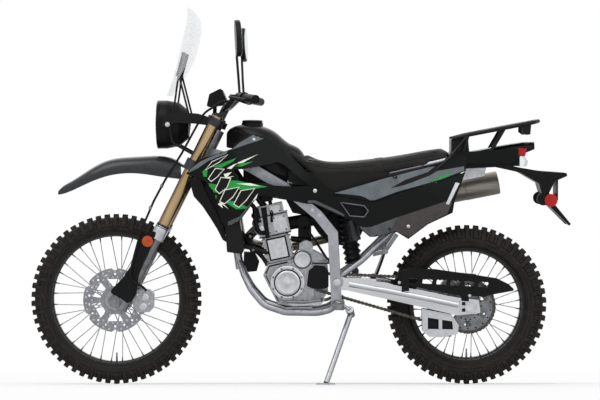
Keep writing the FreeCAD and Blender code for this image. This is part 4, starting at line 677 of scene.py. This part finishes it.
def headlight():
    """Reflector, bulb, rim and side bolts of the lamp."""
    at = (200, 0, 1059)
    bowl = Pieces()
    inner = [(87, -6), (80, -34), (64, -58), (44, -74), (16, -80)]
    outer = [(r + 1.5, h - 1.5) for r, h in inner]
    bowl.ring(at, (-1, 0, 0), inner + outer[::-1], 64)
    bowl.make("lamp_reflector", "steering", mirror_glass)
    bulb = Pieces()
    bulb.turned(at, (-1, 0, 0), [(14, -82), (14, -62), (9, -58), (9, -34), (7, -26), (2, -22)], 24)
    bulb.make("lamp_bulb", "steering", disc_steel)
    rim = Pieces()
    rim.ring(at, (-1, 0, 0), [(98.6, 16), (99.4, 27), (96, 30.5), (89, 30), (87.4, 26), (90, 14)], 72)
    rim.make("lamp_rim", "steering", gloss_black)
    bolts = Pieces()
    for side in (-1, 1):
        bolts.bolt((218, side * 112, 1059), (0, side, 0), 7, 5)
    bolts.make("lamp_bolts", "steering", disc_steel)


def mirrors():
    """The glass of each mirror, facing the rider."""
    glass = Pieces()
    for side in (-1, 1):
        facing = Vector((0.99, -0.1 * side, 0.05)).normalized()
        middle = Vector((500, 318 * side, 1395)) + facing * 22.4
        across = facing.cross(Vector((0, 0, 1))).normalized()
        upward = across.cross(facing)
        oval = [middle + across * (math.cos(a) * 50) + upward * (math.sin(a) * 64) for a in turns(40)]
        glass.loft([[p - facing * 1.5 for p in oval], oval])
    glass.make("mirror_glass", "steering", mirror_glass)


# Panels

# Outlines of the prints, as (x, z) corners
SHROUD_GREY = (
    [(302, 873), (354, 911), (435, 948), (464, 956), (460, 944), (385, 913), (340, 882), (308, 867)],
    [(481, 959), (510, 986), (566, 1019), (618, 1008), (580, 992), (543, 981)],
)
SHROUD_TRIM = (
    [(464, 672), (513, 694), (544, 734), (570, 765), (597, 777), (654, 772), (711, 755), (773, 744),
     (768, 735), (711, 744), (654, 760), (603, 766), (579, 752), (553, 708), (513, 668), (464, 650)],
    [(781, 745), (806, 745), (940, 684), (944, 690), (888, 720), (812, 755), (783, 755)],
)
SHROUD_GREEN = (
    [(402, 890), (498, 926), (486, 912), (438, 886)],
    [(380, 826), (436, 818), (430, 786), (394, 792)],
    [(446, 838), (500, 836), (622, 811), (560, 802), (470, 800)],
    [(438, 760), (500, 752), (552, 726), (498, 722)],
    [(362, 872), (384, 888), (380, 850), (366, 852)],
    [(494, 892), (540, 916), (526, 904), (566, 912), (520, 892)],
    [(388, 782), (420, 776), (416, 756), (404, 766)],
)
SHROUD_PALE = (
    [(460, 884), (484, 898), (526, 917), (584, 940), (526, 908), (496, 900), (478, 882)],
    [(498, 824), (554, 826), (594, 814), (552, 816)],
    [(448, 862), (480, 870), (462, 850), (492, 854), (456, 842)],
    [(424, 742), (444, 726), (440, 742), (468, 722), (438, 752)],
    [(560, 752), (584, 786), (574, 752), (592, 770), (570, 742)],
    [(390, 886), (424, 906), (446, 924), (414, 908)],
)
SHROUD_BARS = (
    [(372, 876), (400, 912), (466, 940), (432, 908), (396, 888)],
    [(384, 842), (414, 886), (452, 882), (424, 850), (398, 830)],
    [(412, 800), (436, 850), (478, 846), (462, 806), (430, 782)],
    [(430, 752), (452, 800), (512, 812), (486, 770), (452, 742)],
    [(486, 742), (516, 798), (574, 806), (538, 756), (508, 728)],
)
COVER_GREY = (
    [(886, 784), (904, 788), (1096, 844), (1266, 886), (1290, 890), (1304, 872), (1410, 890), (1412, 874),
     (1318, 838), (1139, 789), (1051, 756), (1031, 755), (1012, 766), (990, 774), (950, 778), (900, 783)],
)
COVER_SLIT = (
    [(1113, 803), (1172, 816), (1272, 854), (1304, 872), (1290, 888), (1266, 868), (1172, 836)],
)
COVER_GREEN = (
    [(1262, 828), (1288, 840), (1352, 862), (1354, 854), (1300, 834)],
)
COVER_BAND = (
    [(789, 745), (890, 698), (970, 658), (1003, 647), (1035, 648), (1143, 688), (1105, 622), (1051, 608),
     (1029, 610), (994, 622), (950, 650), (850, 702)],
)
COVER_EDGE = (
    [(1376, 826), (1392, 822), (1348, 736), (1336, 740)],
)
TAIL_GREY = (
    [(1450, 934), (1476, 948), (1556, 968), (1500, 944), (1470, 936)],
    [(1330, 922), (1372, 938), (1424, 948), (1400, 936), (1360, 922)],
)
COVER_VENT = ((903, 748), (1008, 733), (1024, 712), (1008, 688), (936, 694))
COVER_REAR = (
    [(1144, 688), (1360, 758), (1360, 738), (1333, 682), (1272, 654), (1180, 604), (1105, 622)],
)


def printed(name, node, outlines, look, lift, side):
    """Outlines laid on a panel as one piece."""
    gathered = Pieces()
    skin = skin_of(node)
    for shape in outlines:
        sticker(gathered, skin, shape, side, lift)
    gathered.make(name, "frame", look)


def panel_prints():
    """A generic graphic on the shrouds and plain zones on the side covers."""
    cores = [inset(bar, 3.2) for bar in SHROUD_BARS]
    shroud_prints = (("strips", SHROUD_GREY, slate_print, 0.6), ("trim", SHROUD_TRIM, grey_print, 0.6),
                     ("green", SHROUD_GREEN, green_print, 0.5),
                     ("pale", SHROUD_PALE + SHROUD_BARS, pale_print, 0.9), ("bars", cores, black_print, 1.3))
    cover_prints = (("grey", COVER_GREY, slate_print, 0.5), ("slit", COVER_SLIT, black_print, 1.0),
                    ("green", COVER_GREEN, green_print, 1.4), ("band", COVER_BAND, grey_print, 0.5),
                    ("rear", COVER_REAR, brown_print, 0.5), ("edge", COVER_EDGE, cover_alloy, 1.2))
    for side, word in SIDES:
        for panel, prints in (("shroud_" + word, shroud_prints), ("side_cover_" + word, cover_prints)):
            for part, outlines, look, lift in prints:
                printed(panel + "_" + part, panel, outlines, look, lift, side)
        printed("tail_facets_" + word, "tail", TAIL_GREY, grey_print, 0.6, side)


def vents():
    """A pale bead round the opening in each side cover and a dark wall behind it."""
    for side, word in SIDES:
        skin = skin_of("side_cover_" + word)
        bead = Pieces()
        path = []
        for (x0, z0), (x1, z1) in zip(COVER_VENT, COVER_VENT[1:] + COVER_VENT[:1]):
            spots = [met(skin, x0 + (x1 - x0) * i / 10, z0 + (z1 - z0) * i / 10, side)[0] for i in range(10)]
            path += [hit for hit in spots if hit is not None]
        bead.tube(path, 2.2, 8, closed=True)
        bead.make("vent_bead_" + word, "frame", slate_print)
        wall = Pieces()
        wall.plate([(900, 756), (1020, 742), (1040, 712), (1020, 676), (930, 684)], side, 133, thick=2.5)
        wall.make("vent_wall_" + word, "frame", black_plastic)


def seat_skirts():
    """The lower flanks of the seat down to the side covers."""
    flanks = Pieces()
    for side in (-1, 1):
        corners = [(704, 872), (800, 866), (960, 864), (1112, 868), (1106, 850), (1095, 846), (900, 791),
                   (868, 788), (830, 794), (770, 812), (704, 830)]
        flanks.plate(corners, side, 121, thick=4)
    flanks.make("seat_skirts", "frame", vinyl)


def dark_walls():
    """Dark parts seen through the gaps: tank flank, battery box, tail skirts; inside they are partly painted
    shade.
    """
    inner = Pieces()
    flank = [(520, 944), (600, 900), (700, 866), (800, 846), (796, 806), (700, 806), (600, 816), (520, 834)]
    airway = [(630, 812), (815, 806), (836, 735), (812, 700), (760, 692), (720, 700), (694, 752), (634, 762)]
    battery = [(790, 712), (893, 792), (1010, 822), (1040, 700), (1000, 606), (935, 560), (870, 572),
               (826, 612), (800, 650)]
    horn = [(522, 540), (566, 536), (584, 500), (574, 462), (536, 458), (520, 500)]
    for outline, low, high in ((flank, -38, 38), (airway, -30, 30), (battery, 44, 66), (horn, -26, 26)):
        inner.slice(outline, low, high)
    duct = [(374, 828), (424, 800), (452, 700), (474, 650), (462, 636), (436, 663), (400, 740), (370, 800)]
    skirt = [(1322, 906), (1358, 944), (1450, 950), (1560, 958), (1632, 962), (1634, 928), (1600, 900),
             (1500, 898), (1400, 902)]
    skirts = Pieces()
    for side in (-1, 1):
        inner.plate(duct, side, 157, thick=4)
        skirts.plate(skirt, side, 101, taper=0.085)
    # the inner slabs: real black parts, and painted shade where the inside of the bike lies in shade
    inner.make("inner_parts_and_shade", "frame", black_plastic)
    skirts.make("tail_skirts", "frame", gloss_black)


def panel_screws():
    """Screws on the chain guard, shrouds and side covers."""
    screws = Pieces()
    guard = skin_of("chain_guard")
    for x, z in ((1150, 423), (1433, 370)):
        hit, _ = met(guard, x, z, -1)
        screws.turned(hit, (0, -1, 0), [(7, -2), (7, 2), (5.5, 4), (3, 4.4)], 24)
    places = (("shroud_", 567, 999, 6), ("shroud_", 811, 793, 8), ("side_cover_", 1185, 650, 7))
    for side, word in SIDES:
        for panel, x, z, radius in places:
            hit, out = met(skin_of(panel + word), x, z, side)
            screw = [(radius, -1), (radius, 1.4), (radius * 0.8, 2.6), (radius * 0.3, 3)]
            screws.turned(hit, out, screw, 24)
    screws.make("panel_screws", "frame", disc_steel)


# Engine, chain and swingarm

def engine_spot(x, y, z):
    """A point in the leaning cylinder's own axes."""
    lean = Vector((math.cos(CYLINDER_TILT), math.sin(CYLINDER_TILT)))
    return CYLINDER_FOOT + Vector((x * lean.x - z * lean.y, y, x * lean.y + z * lean.x))


def engine_plate(gathered, corners, side, reach, thick):
    """A plate on the cylinder's flank."""
    gathered.loft([[engine_spot(x, side * y, z) for x, z in corners] for y in (reach - thick, reach)])


def cylinder_details():
    """Gaskets, plates, bolts and the water neck of the cylinder."""
    dark = Pieces()
    plates = Pieces()
    bolts = Pieces()
    heads = ((-46, 126, 75), (-46, 188, 75), (-16, 126, 75), (10, 128, 78), (52, 128, 78), (10, 182, 78),
             (52, 182, 78), (-50, 10, 68), (48, 10, 68), (-48, 108, 68), (50, 108, 68), (6, 208, 73),
             (42, 208, 73))
    for side in (-1, 1):
        for low, high, reach in ((-2, 5, 70), (112, 117, 76), (194, 198, 76)):
            engine_plate(dark, box(-64, 68, low, high), side, reach, 6)
        engine_plate(dark, [(-38, 108), (-22, 108), (-10, 232), (-32, 232)], side, 79, 6)
        engine_plate(dark, [(-60, 176), (-42, 176), (-42, 236), (-58, 236)], side, 78, 6)
        engine_plate(dark, box(-40, 42, 14, 104), side, 69.2, 3)
        engine_plate(plates, box(-34, 36, 20, 98), side, 71.5, 4)
        engine_plate(plates, box(4, 58, 122, 188), side, 78, 4)
        engine_plate(plates, [(0, 202), (48, 202), (42, 232), (4, 232)], side, 73, 6)
        for x, z, reach in heads:
            bolts.bolt(engine_spot(x, side * reach, z), (0, side, 0), 3.4, 4)
        neck = engine_spot(-52, side * 70, 150)
        plates.turned(neck, (0, side, 0), [(15, 0), (15, 10), (11, 12), (11, 16), (5, 17)], 28)
    dark.make("cylinder_gaps", "frame", soft_black)
    plates.make("cylinder_plates", "frame", cover_alloy)
    bolts.make("cylinder_bolts", "frame", dull_steel)


def case_details():
    """Round covers, seams and bolts of the engine case, with painted shade in the grooves round the covers.
    """
    bolts = Pieces()
    covers = Pieces()
    dark = Pieces()
    crank = Vector((700, 0, 420))
    drum = [(49.6, -2), (49.6, 0.4), (47, 2.2), (40, 2.6), (38, 1.6), (12, 1.6), (10, 2.4)]
    collar = [(55, 0), (55, 2.4), (57, 3.4), (66, 3.4), (68.5, 2), (69, 0)]
    small_cover = [(33.6, -2), (33.6, 1.5), (31, 4), (24, 4.6), (22, 3.8), (4, 4)]
    lower = [(700, 352), (850, 352), (846, 340), (832, 328), (724, 324), (700, 332)]
    for side in (-1, 1):
        out = Vector((0, side, 0))
        covers.turned(crank + out * 110.5, out, drum, 48)
        covers.ring(crank + out * 104, out, collar, 64)
        # dark rings in the grooves round the covers, here and below: painted shade
        dark.ring(crank + out * 104, out, [(50, 0), (50, 1.6), (55, 1.6), (55, 0)], 64)
        covers.turned(Vector((760, side * 92.5, 513)), out, small_cover, 40)
        dark.ring(Vector((760, side * 92.5, 513)), out, [(33.6, -1), (33.6, 1), (36.5, 1), (36.5, -1)], 40)
        for a in turns(8, 0.4):
            bolts.bolt(around(crank, 61.5, a, side * 107), out, 3.6, 4)
        for x, z in ((728, 508), (782, 487), (744, 540)):
            bolts.bolt((x, side * 92, z), out, 3.6, 4)
        dark.tube([(612, side * 69, 455), (626, side * 69, 485), (700, side * 69, 502)], 3.5)
        dark.tube([(612, side * 69, 448), (664, side * 69, 342)], 2.5)
        covers.slice(lower, side * 66, side * 74)
        for x in (722, 762, 802, 838):
            bolts.bolt((x, side * 74, 344), out, 3.4, 4)
    covers.make("engine_covers", "frame", cover_alloy)
    dark.make("case_seams_and_groove_shade", "frame", soft_black)
    bolts.make("engine_bolts", "frame", dull_steel)


def bay_details():
    """Coil, brackets and hoses that fill the bay round the head."""
    black = Pieces()
    black.slice([(596, 742), (640, 752), (640, 778), (592, 770)], -64, -30)
    for route, bend, radius in (
            ([(628, -50, 752), (632, -58, 730), (636, -70, 700), (638, -72, 664)], 12, 8),
            ([(560, -54, 768), (600, -48, 772), (690, -40, 764), (770, -44, 728), (800, -60, 706)], 20, 7),
            ([(500, -60, 640), (530, -58, 600), (560, -52, 560), (600, -60, 520), (616, -66, 496)], 20, 9)):
        black.tube(bent(route, bend), radius, 12)
    for x, z, size in ((566, 690, 13), (548, 606, 15), (560, 552, 14), (590, 536, 9)):
        black.turned((x, -74, z), (0, 1, 0), [(size * 0.7, -2), (size, 2), (size, 40), (size * 0.6, 44)], 20)
    black.make("bay_parts", "frame", soft_black)
    steel = Pieces()
    steel.tube(bent([(572, -78, 700), (560, -78, 660), (566, -74, 628), (590, -70, 610)], 10), 4, 10)
    for x, z in ((566, 690), (548, 606), (560, 552)):
        steel.turned((x, -77, z), (0, -1, 0), [(6, -2), (6, 2), (4, 3), (2, 3.2)], 16)
    steel.tube(bent([(800, -66, 500), (830, -70, 501), (868, -84, 502), (884, -104, 502)], 8), 7, 14)
    steel.make("bay_steel", "frame", dull_steel)


def frame_bolts():
    """Pivot and mounting bolts of the frame."""
    bolts = Pieces()
    places = ((899, 424, 141, 11), (900, 338, 128, 10), (829, 694, 128, 5), (800, 715, 128, 5))
    for side in (-1, 1):
        for x, z, y, radius in places:
            bolts.bolt(Vector((x, side * y, z)), (0, side, 0), radius, radius * 0.7)
    bolts.make("frame_bolts", "frame", disc_steel)


def chain_pins():
    """Even places for the pins on the loop round both sprockets."""
    gap = REAR_AXLE - DRIVE_AXLE
    tilt = math.atan2(gap.z, gap.x)
    spread = math.acos((CHAIN_BIG - CHAIN_SMALL) / gap.length)
    path = []
    for centre, radius, middle, sweep in ((DRIVE_AXLE, CHAIN_SMALL, tilt + math.pi, spread),
                                          (REAR_AXLE, CHAIN_BIG, tilt, math.pi - spread)):
        for i in range(61):
            a = middle + sweep * (2 * i / 60 - 1)
            path.append(around(centre, radius, a, CHAIN_LINE))
    lengths = [(b - a).length for a, b in zip(path, path[1:] + path[:1])]
    count = int(sum(lengths) / CHAIN_PITCH / 2) * 2
    pins = []
    for i in range(count):
        left = sum(lengths) * i / count
        k = 0
        while left > lengths[k]:
            left -= lengths[k]
            k += 1
        pins.append(path[k].lerp(path[(k + 1) % len(path)], left / lengths[k]))
    return pins


def chain():
    """Plates, pins and rollers at the real pitch."""
    links = Pieces()
    pins = chain_pins()
    for i, (a, b) in enumerate(zip(pins, pins[1:] + pins[:1])):
        along = (b - a).normalized()
        up = along.cross(Vector((0, 1, 0)))
        outer = 7.6 if i % 2 else 5.4
        shape = [a - along * 6.4, a - along * 4.4 + up * 5.4, a + along * 2 + up * 6.4, (a + b) / 2 + up * 4,
                 b - along * 2 + up * 6.4, b + along * 4.4 + up * 5.4, b + along * 6.4]
        shape += [2 * ((p - a).dot(along) * along) - (p - a) + a for p in shape[5:0:-1]]
        for side in (-1, 1):
            inner_face = Vector((0, side * outer, 0))
            outer_face = Vector((0, side * (outer + 1.9), 0))
            links.loft([[p + face for p in shape] for face in (inner_face, outer_face)])
        links.turned(a + Vector((0, -9.8, 0)), (0, 1, 0), [(2.5, 0), (2.5, 19.6)], 10)
        links.turned(a + Vector((0, -5.3, 0)), (0, 1, 0), [(5, 0), (5, 10.6)], 12)
    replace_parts(links.make("chain_links", "frame", chain_steel), "chain")


def muffler_details():
    """The muffler's outer sleeve and its outlet."""
    start = Vector((1188, 160, 742))
    along = Vector((0.981, 0, 0.194)).normalized()
    sleeve = Pieces()
    wall = [(46.6, 250), (48.2, 252), (48.2, 386), (46, 392), (40, 392), (40, 388), (44, 384), (44, 250)]
    sleeve.ring(start, along, wall, 72)
    sleeve.make("muffler_sleeve", "frame", brushed_steel)
    end = Pieces()
    end.turned(start + along * 377, along, [(44, 0), (44, 4), (20, 6), (19, 14), (15, 14), (15, 4)], 48)
    end.make("muffler_end", "frame", satin_black)


def swingarm_details():
    """Round bulges along the arms, and the axle's plates."""
    bulges = Pieces()
    blocks = Pieces()
    dark = Pieces()
    beam = [(948, 416), (1092, 391), (1276, 355), (1388, 331)]
    for side in (-1, 1):
        bulges.tube([(x, side * 109, z) for x, z in beam], 14, 28)
        blocks.plate([(1392, 350), (1464, 343), (1464, 298), (1392, 302)], side, 124.5)
        for z in (338, 312):
            dark.plate(box(1402, 1416, z - 7, z + 7), side, 125.2)
        dark.turned((1430, side * 135, 324), (0, side, 0), [(9, -2), (9, 2.2), (6, 2.6)], 24)
    bulges.make("swingarm_bulges", "frame", bright_alloy)
    blocks.make("axle_blocks", "frame", disc_steel)
    dark.make("axle_marks", "frame", satin_black)


def chain_guide():
    """The pale plate on the lower guide, with dark pads in its openings."""
    pale = Pieces()
    for corners in ([(1242, 316), (1266, 311), (1266, 230), (1244, 226)],
                    [(1266, 311), (1362, 292), (1368, 264), (1266, 280)],
                    [(1310, 274), (1324, 272), (1324, 232), (1310, 232)],
                    [(1244, 226), (1266, 234), (1368, 232), (1387, 214), (1325, 200), (1272, 202)],
                    [(1362, 292), (1391, 248), (1387, 214), (1368, 232)]):
        pale.plate(corners, -1, 106, thick=2.6)
    pale.make("guide_plate", "frame", cover_alloy)
    pads = Pieces()
    pads.plate([(1246, 308), (1356, 286), (1384, 247), (1381, 217), (1324, 204), (1275, 206), (1250, 228)],
               -1, 99)
    pads.make("guide_pads", "frame", soft_black)


# Seat

def baked(piece):
    """The mesh of a piece with its modifiers applied."""
    graph = bpy.context.evaluated_depsgraph_get()
    return bpy.data.meshes.new_from_object(piece.evaluated_get(graph), depsgraph=graph)


def settle(piece):
    """Applies a piece's modifiers to its own mesh."""
    mesh = baked(piece)
    piece.modifiers.clear()
    piece.data = mesh


def points_of(mesh):
    return np.array([v.co for v in mesh.vertices])


def move_points(mesh, points):
    mesh.vertices.foreach_set("co", points.ravel())
    mesh.update()


def swollen(cushion):
    """Lets air pressure round a closed cushion, with each point held near where it began."""
    start = points_of(cushion.data)
    cloth = cushion.modifiers.new("cloth", "CLOTH")
    cloth.settings.use_pressure = True
    cloth.settings.uniform_pressure_force = CLOTH_PRESSURE
    cloth.settings.effector_weights.gravity = 0
    scene = bpy.context.scene
    for step in range(1, CLOTH_STEPS + 1):
        scene.frame_set(step)
    moved = points_of(baked(cushion)) - start
    reach = np.linalg.norm(moved, axis=1, keepdims=True)
    scene.frame_set(1)
    cushion.modifiers.clear()
    return start + moved * np.minimum(1, SEAT_SWELL / np.maximum(reach, 1e-9))


def smoothed(cushion, rounds):
    """Relaxes a cushion's points a few times."""
    relax = cushion.modifiers.new("relax", "SMOOTH")
    relax.iterations = rounds
    relax.factor = 0.5
    settle(cushion)


def seat_cushion():
    """The seat's skin: its solid as fine cells, drawn in, then blown up as cloth."""
    cushion = placed("seat_cushion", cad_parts["seat"].data.copy())
    cells = cushion.modifiers.new("cells", "REMESH")
    cells.mode = "VOXEL"
    cells.voxel_size = SEAT_CELL
    settle(cushion)
    smoothed(cushion, 6)
    normals = np.array([v.normal for v in cushion.data.vertices])
    move_points(cushion.data, points_of(cushion.data) - normals * SEAT_DRAWN_IN)
    move_points(cushion.data, swollen(cushion))
    smoothed(cushion, 4)
    finer = cushion.modifiers.new("finer", "SUBSURF")
    finer.levels = 1
    settle(cushion)
    cushion.data.materials.clear()
    cushion.data.materials.append(vinyl)
    cushion.data.shade_smooth()
    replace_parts(cushion, "seat")
    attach(cushion, "frame")
    return cushion


def seat_strap(skin):
    """The strap across the seat, laid round its top and flanks."""
    strap = Pieces()
    rows = []
    for x in range(1052, 1088, 5):
        row = []
        for step in range(-3, 44):
            a = math.pi * step / 40
            way = Vector((0, -math.cos(a), math.sin(a)))
            lift = 2.4 if 1056 < x < 1083 else 0.6
            hit, _, _, _ = skin.ray_cast(Vector((x, 0, 868)) + way * 300, -way)
            if hit is not None:
                row.append(hit + way * lift)
        rows.append(row)
    shortest = min(len(row) for row in rows)
    strap.strip([row[:shortest] for row in rows])
    strap.make("seat_strap", "frame", vinyl)


def seat_piping(skin):
    """A bead along each flank, below the seat's edge."""
    piping = Pieces()
    for side in (-1, 1):
        seam = []
        for x in range(700, 1345, 8):
            top, _, _, _ = skin.ray_cast(Vector((x, 0, 1200)), Vector((0, 0, -1)))
            if top is None:
                continue
            hit, _, _, _ = skin.ray_cast(Vector((x, side * 300, top.z - 24)), Vector((0, -side, 0)))
            if hit is not None:
                seam.append(hit)
        piping.tube(curve(seam[::3], 4), 1.8, 8)
    piping.make("seat_piping", "frame", vinyl)


# Surroundings

def camera():
    data = bpy.data.cameras.new("camera")
    data.lens = 118.8
    data.sensor_width = 36
    data.clip_end = 200
    holder = placed("camera", data)
    holder.location = (0.042, -8.0, 0.06)
    yaw = -0.0051
    pitch = 0.0853
    ahead = Vector((math.sin(yaw) * math.cos(pitch), math.cos(yaw) * math.cos(pitch), math.sin(pitch)))
    holder.rotation_euler = ahead.to_track_quat("-Z", "Y").to_euler()
    bpy.context.scene.camera = holder


def shown_white(tree, lit, plain, share, output):
    """Mixes a share of plain white into a lit shader where a camera, mirror or glass ray arrives."""
    path = add_node(tree, "ShaderNodeLightPath")
    seen = path.outputs["Is Camera Ray"]
    for ray in ("Is Glossy Ray", "Is Transmission Ray"):
        both = add_node(tree, "ShaderNodeMath", "MAXIMUM")
        tree.links.new(seen, both.inputs[0])
        link(tree, path, ray, both, 1)
        seen = both.outputs[0]
    part = add_node(tree, "ShaderNodeMath", "MULTIPLY")
    part.inputs[1].default_value = share
    tree.links.new(seen, part.inputs[0])
    white = add_node(tree, plain, Color=(1, 1, 1, 1))
    mix = add_node(tree, "ShaderNodeMixShader")
    link(tree, part, 0, mix, 0)
    link(tree, lit, 0, mix, 1)
    link(tree, white, 0, mix, 2)
    link(tree, mix, 0, output, "Surface")


def surroundings():
    """A white world that lights softly, with three wide suns."""
    world = bpy.data.worlds.new("studio")
    bpy.context.scene.world = world
    tree = emptied(world)
    soft = add_node(tree, "ShaderNodeBackground", Color=(1, 1, 1, 1), Strength=0.5)
    shown_white(tree, soft, "ShaderNodeBackground", 1, add_node(tree, "ShaderNodeOutputWorld"))
    for name, energy, softness, turn in (("key", 1.3, 40, (38, -8, -22)), ("fill", 0.7, 60, (58, 0, 38)),
                                         ("back", 0.5, 50, (-50, 0, 12))):
        data = bpy.data.lights.new(name, "SUN")
        data.energy = energy
        data.angle = math.radians(softness)
        lamp = placed(name, data)
        lamp.rotation_euler = [math.radians(t) for t in turn]


def floor():
    """A pale floor that keeps the shadow."""
    mesh = bpy.data.meshes.new("floor")
    corners = [(x, y, 0) for x, y in box(-FLOOR_REACH, FLOOR_REACH, -FLOOR_REACH, FLOOR_REACH)]
    mesh.from_pydata(corners, [], [(0, 1, 2, 3)])
    ground = placed("floor", mesh)
    material = bpy.data.materials.new("floor_white")
    tree = emptied(material)
    matte = add_node(tree, "ShaderNodeBsdfDiffuse")
    grain = add_node(tree, "ShaderNodeTexNoise", Scale=3)
    ramp = add_ramp(tree, (0.93, 0.93, 0.93, 1), (0.96, 0.96, 0.96, 1))
    link(tree, grain, "Fac", ramp, "Fac")
    link(tree, ramp, "Color", matte, "Color")
    shown_white(tree, matte, "ShaderNodeEmission", 0.25, add_node(tree, "ShaderNodeOutputMaterial"))
    mesh.materials.append(material)


dress_cad()
wheels()
fork_details()
guard_details()
brake_hose()
headlight()
mirrors()
panel_prints()
vents()
seat_skirts()
dark_walls()
panel_screws()
cylinder_details()
case_details()
bay_details()
frame_bolts()
chain()
muffler_details()
swingarm_details()
chain_guide()
seat = skin_of(seat_cushion())
seat_strap(seat)
seat_piping(seat)
camera()
surroundings()
floor()
bpy.context.scene.view_settings.view_transform = "Standard"
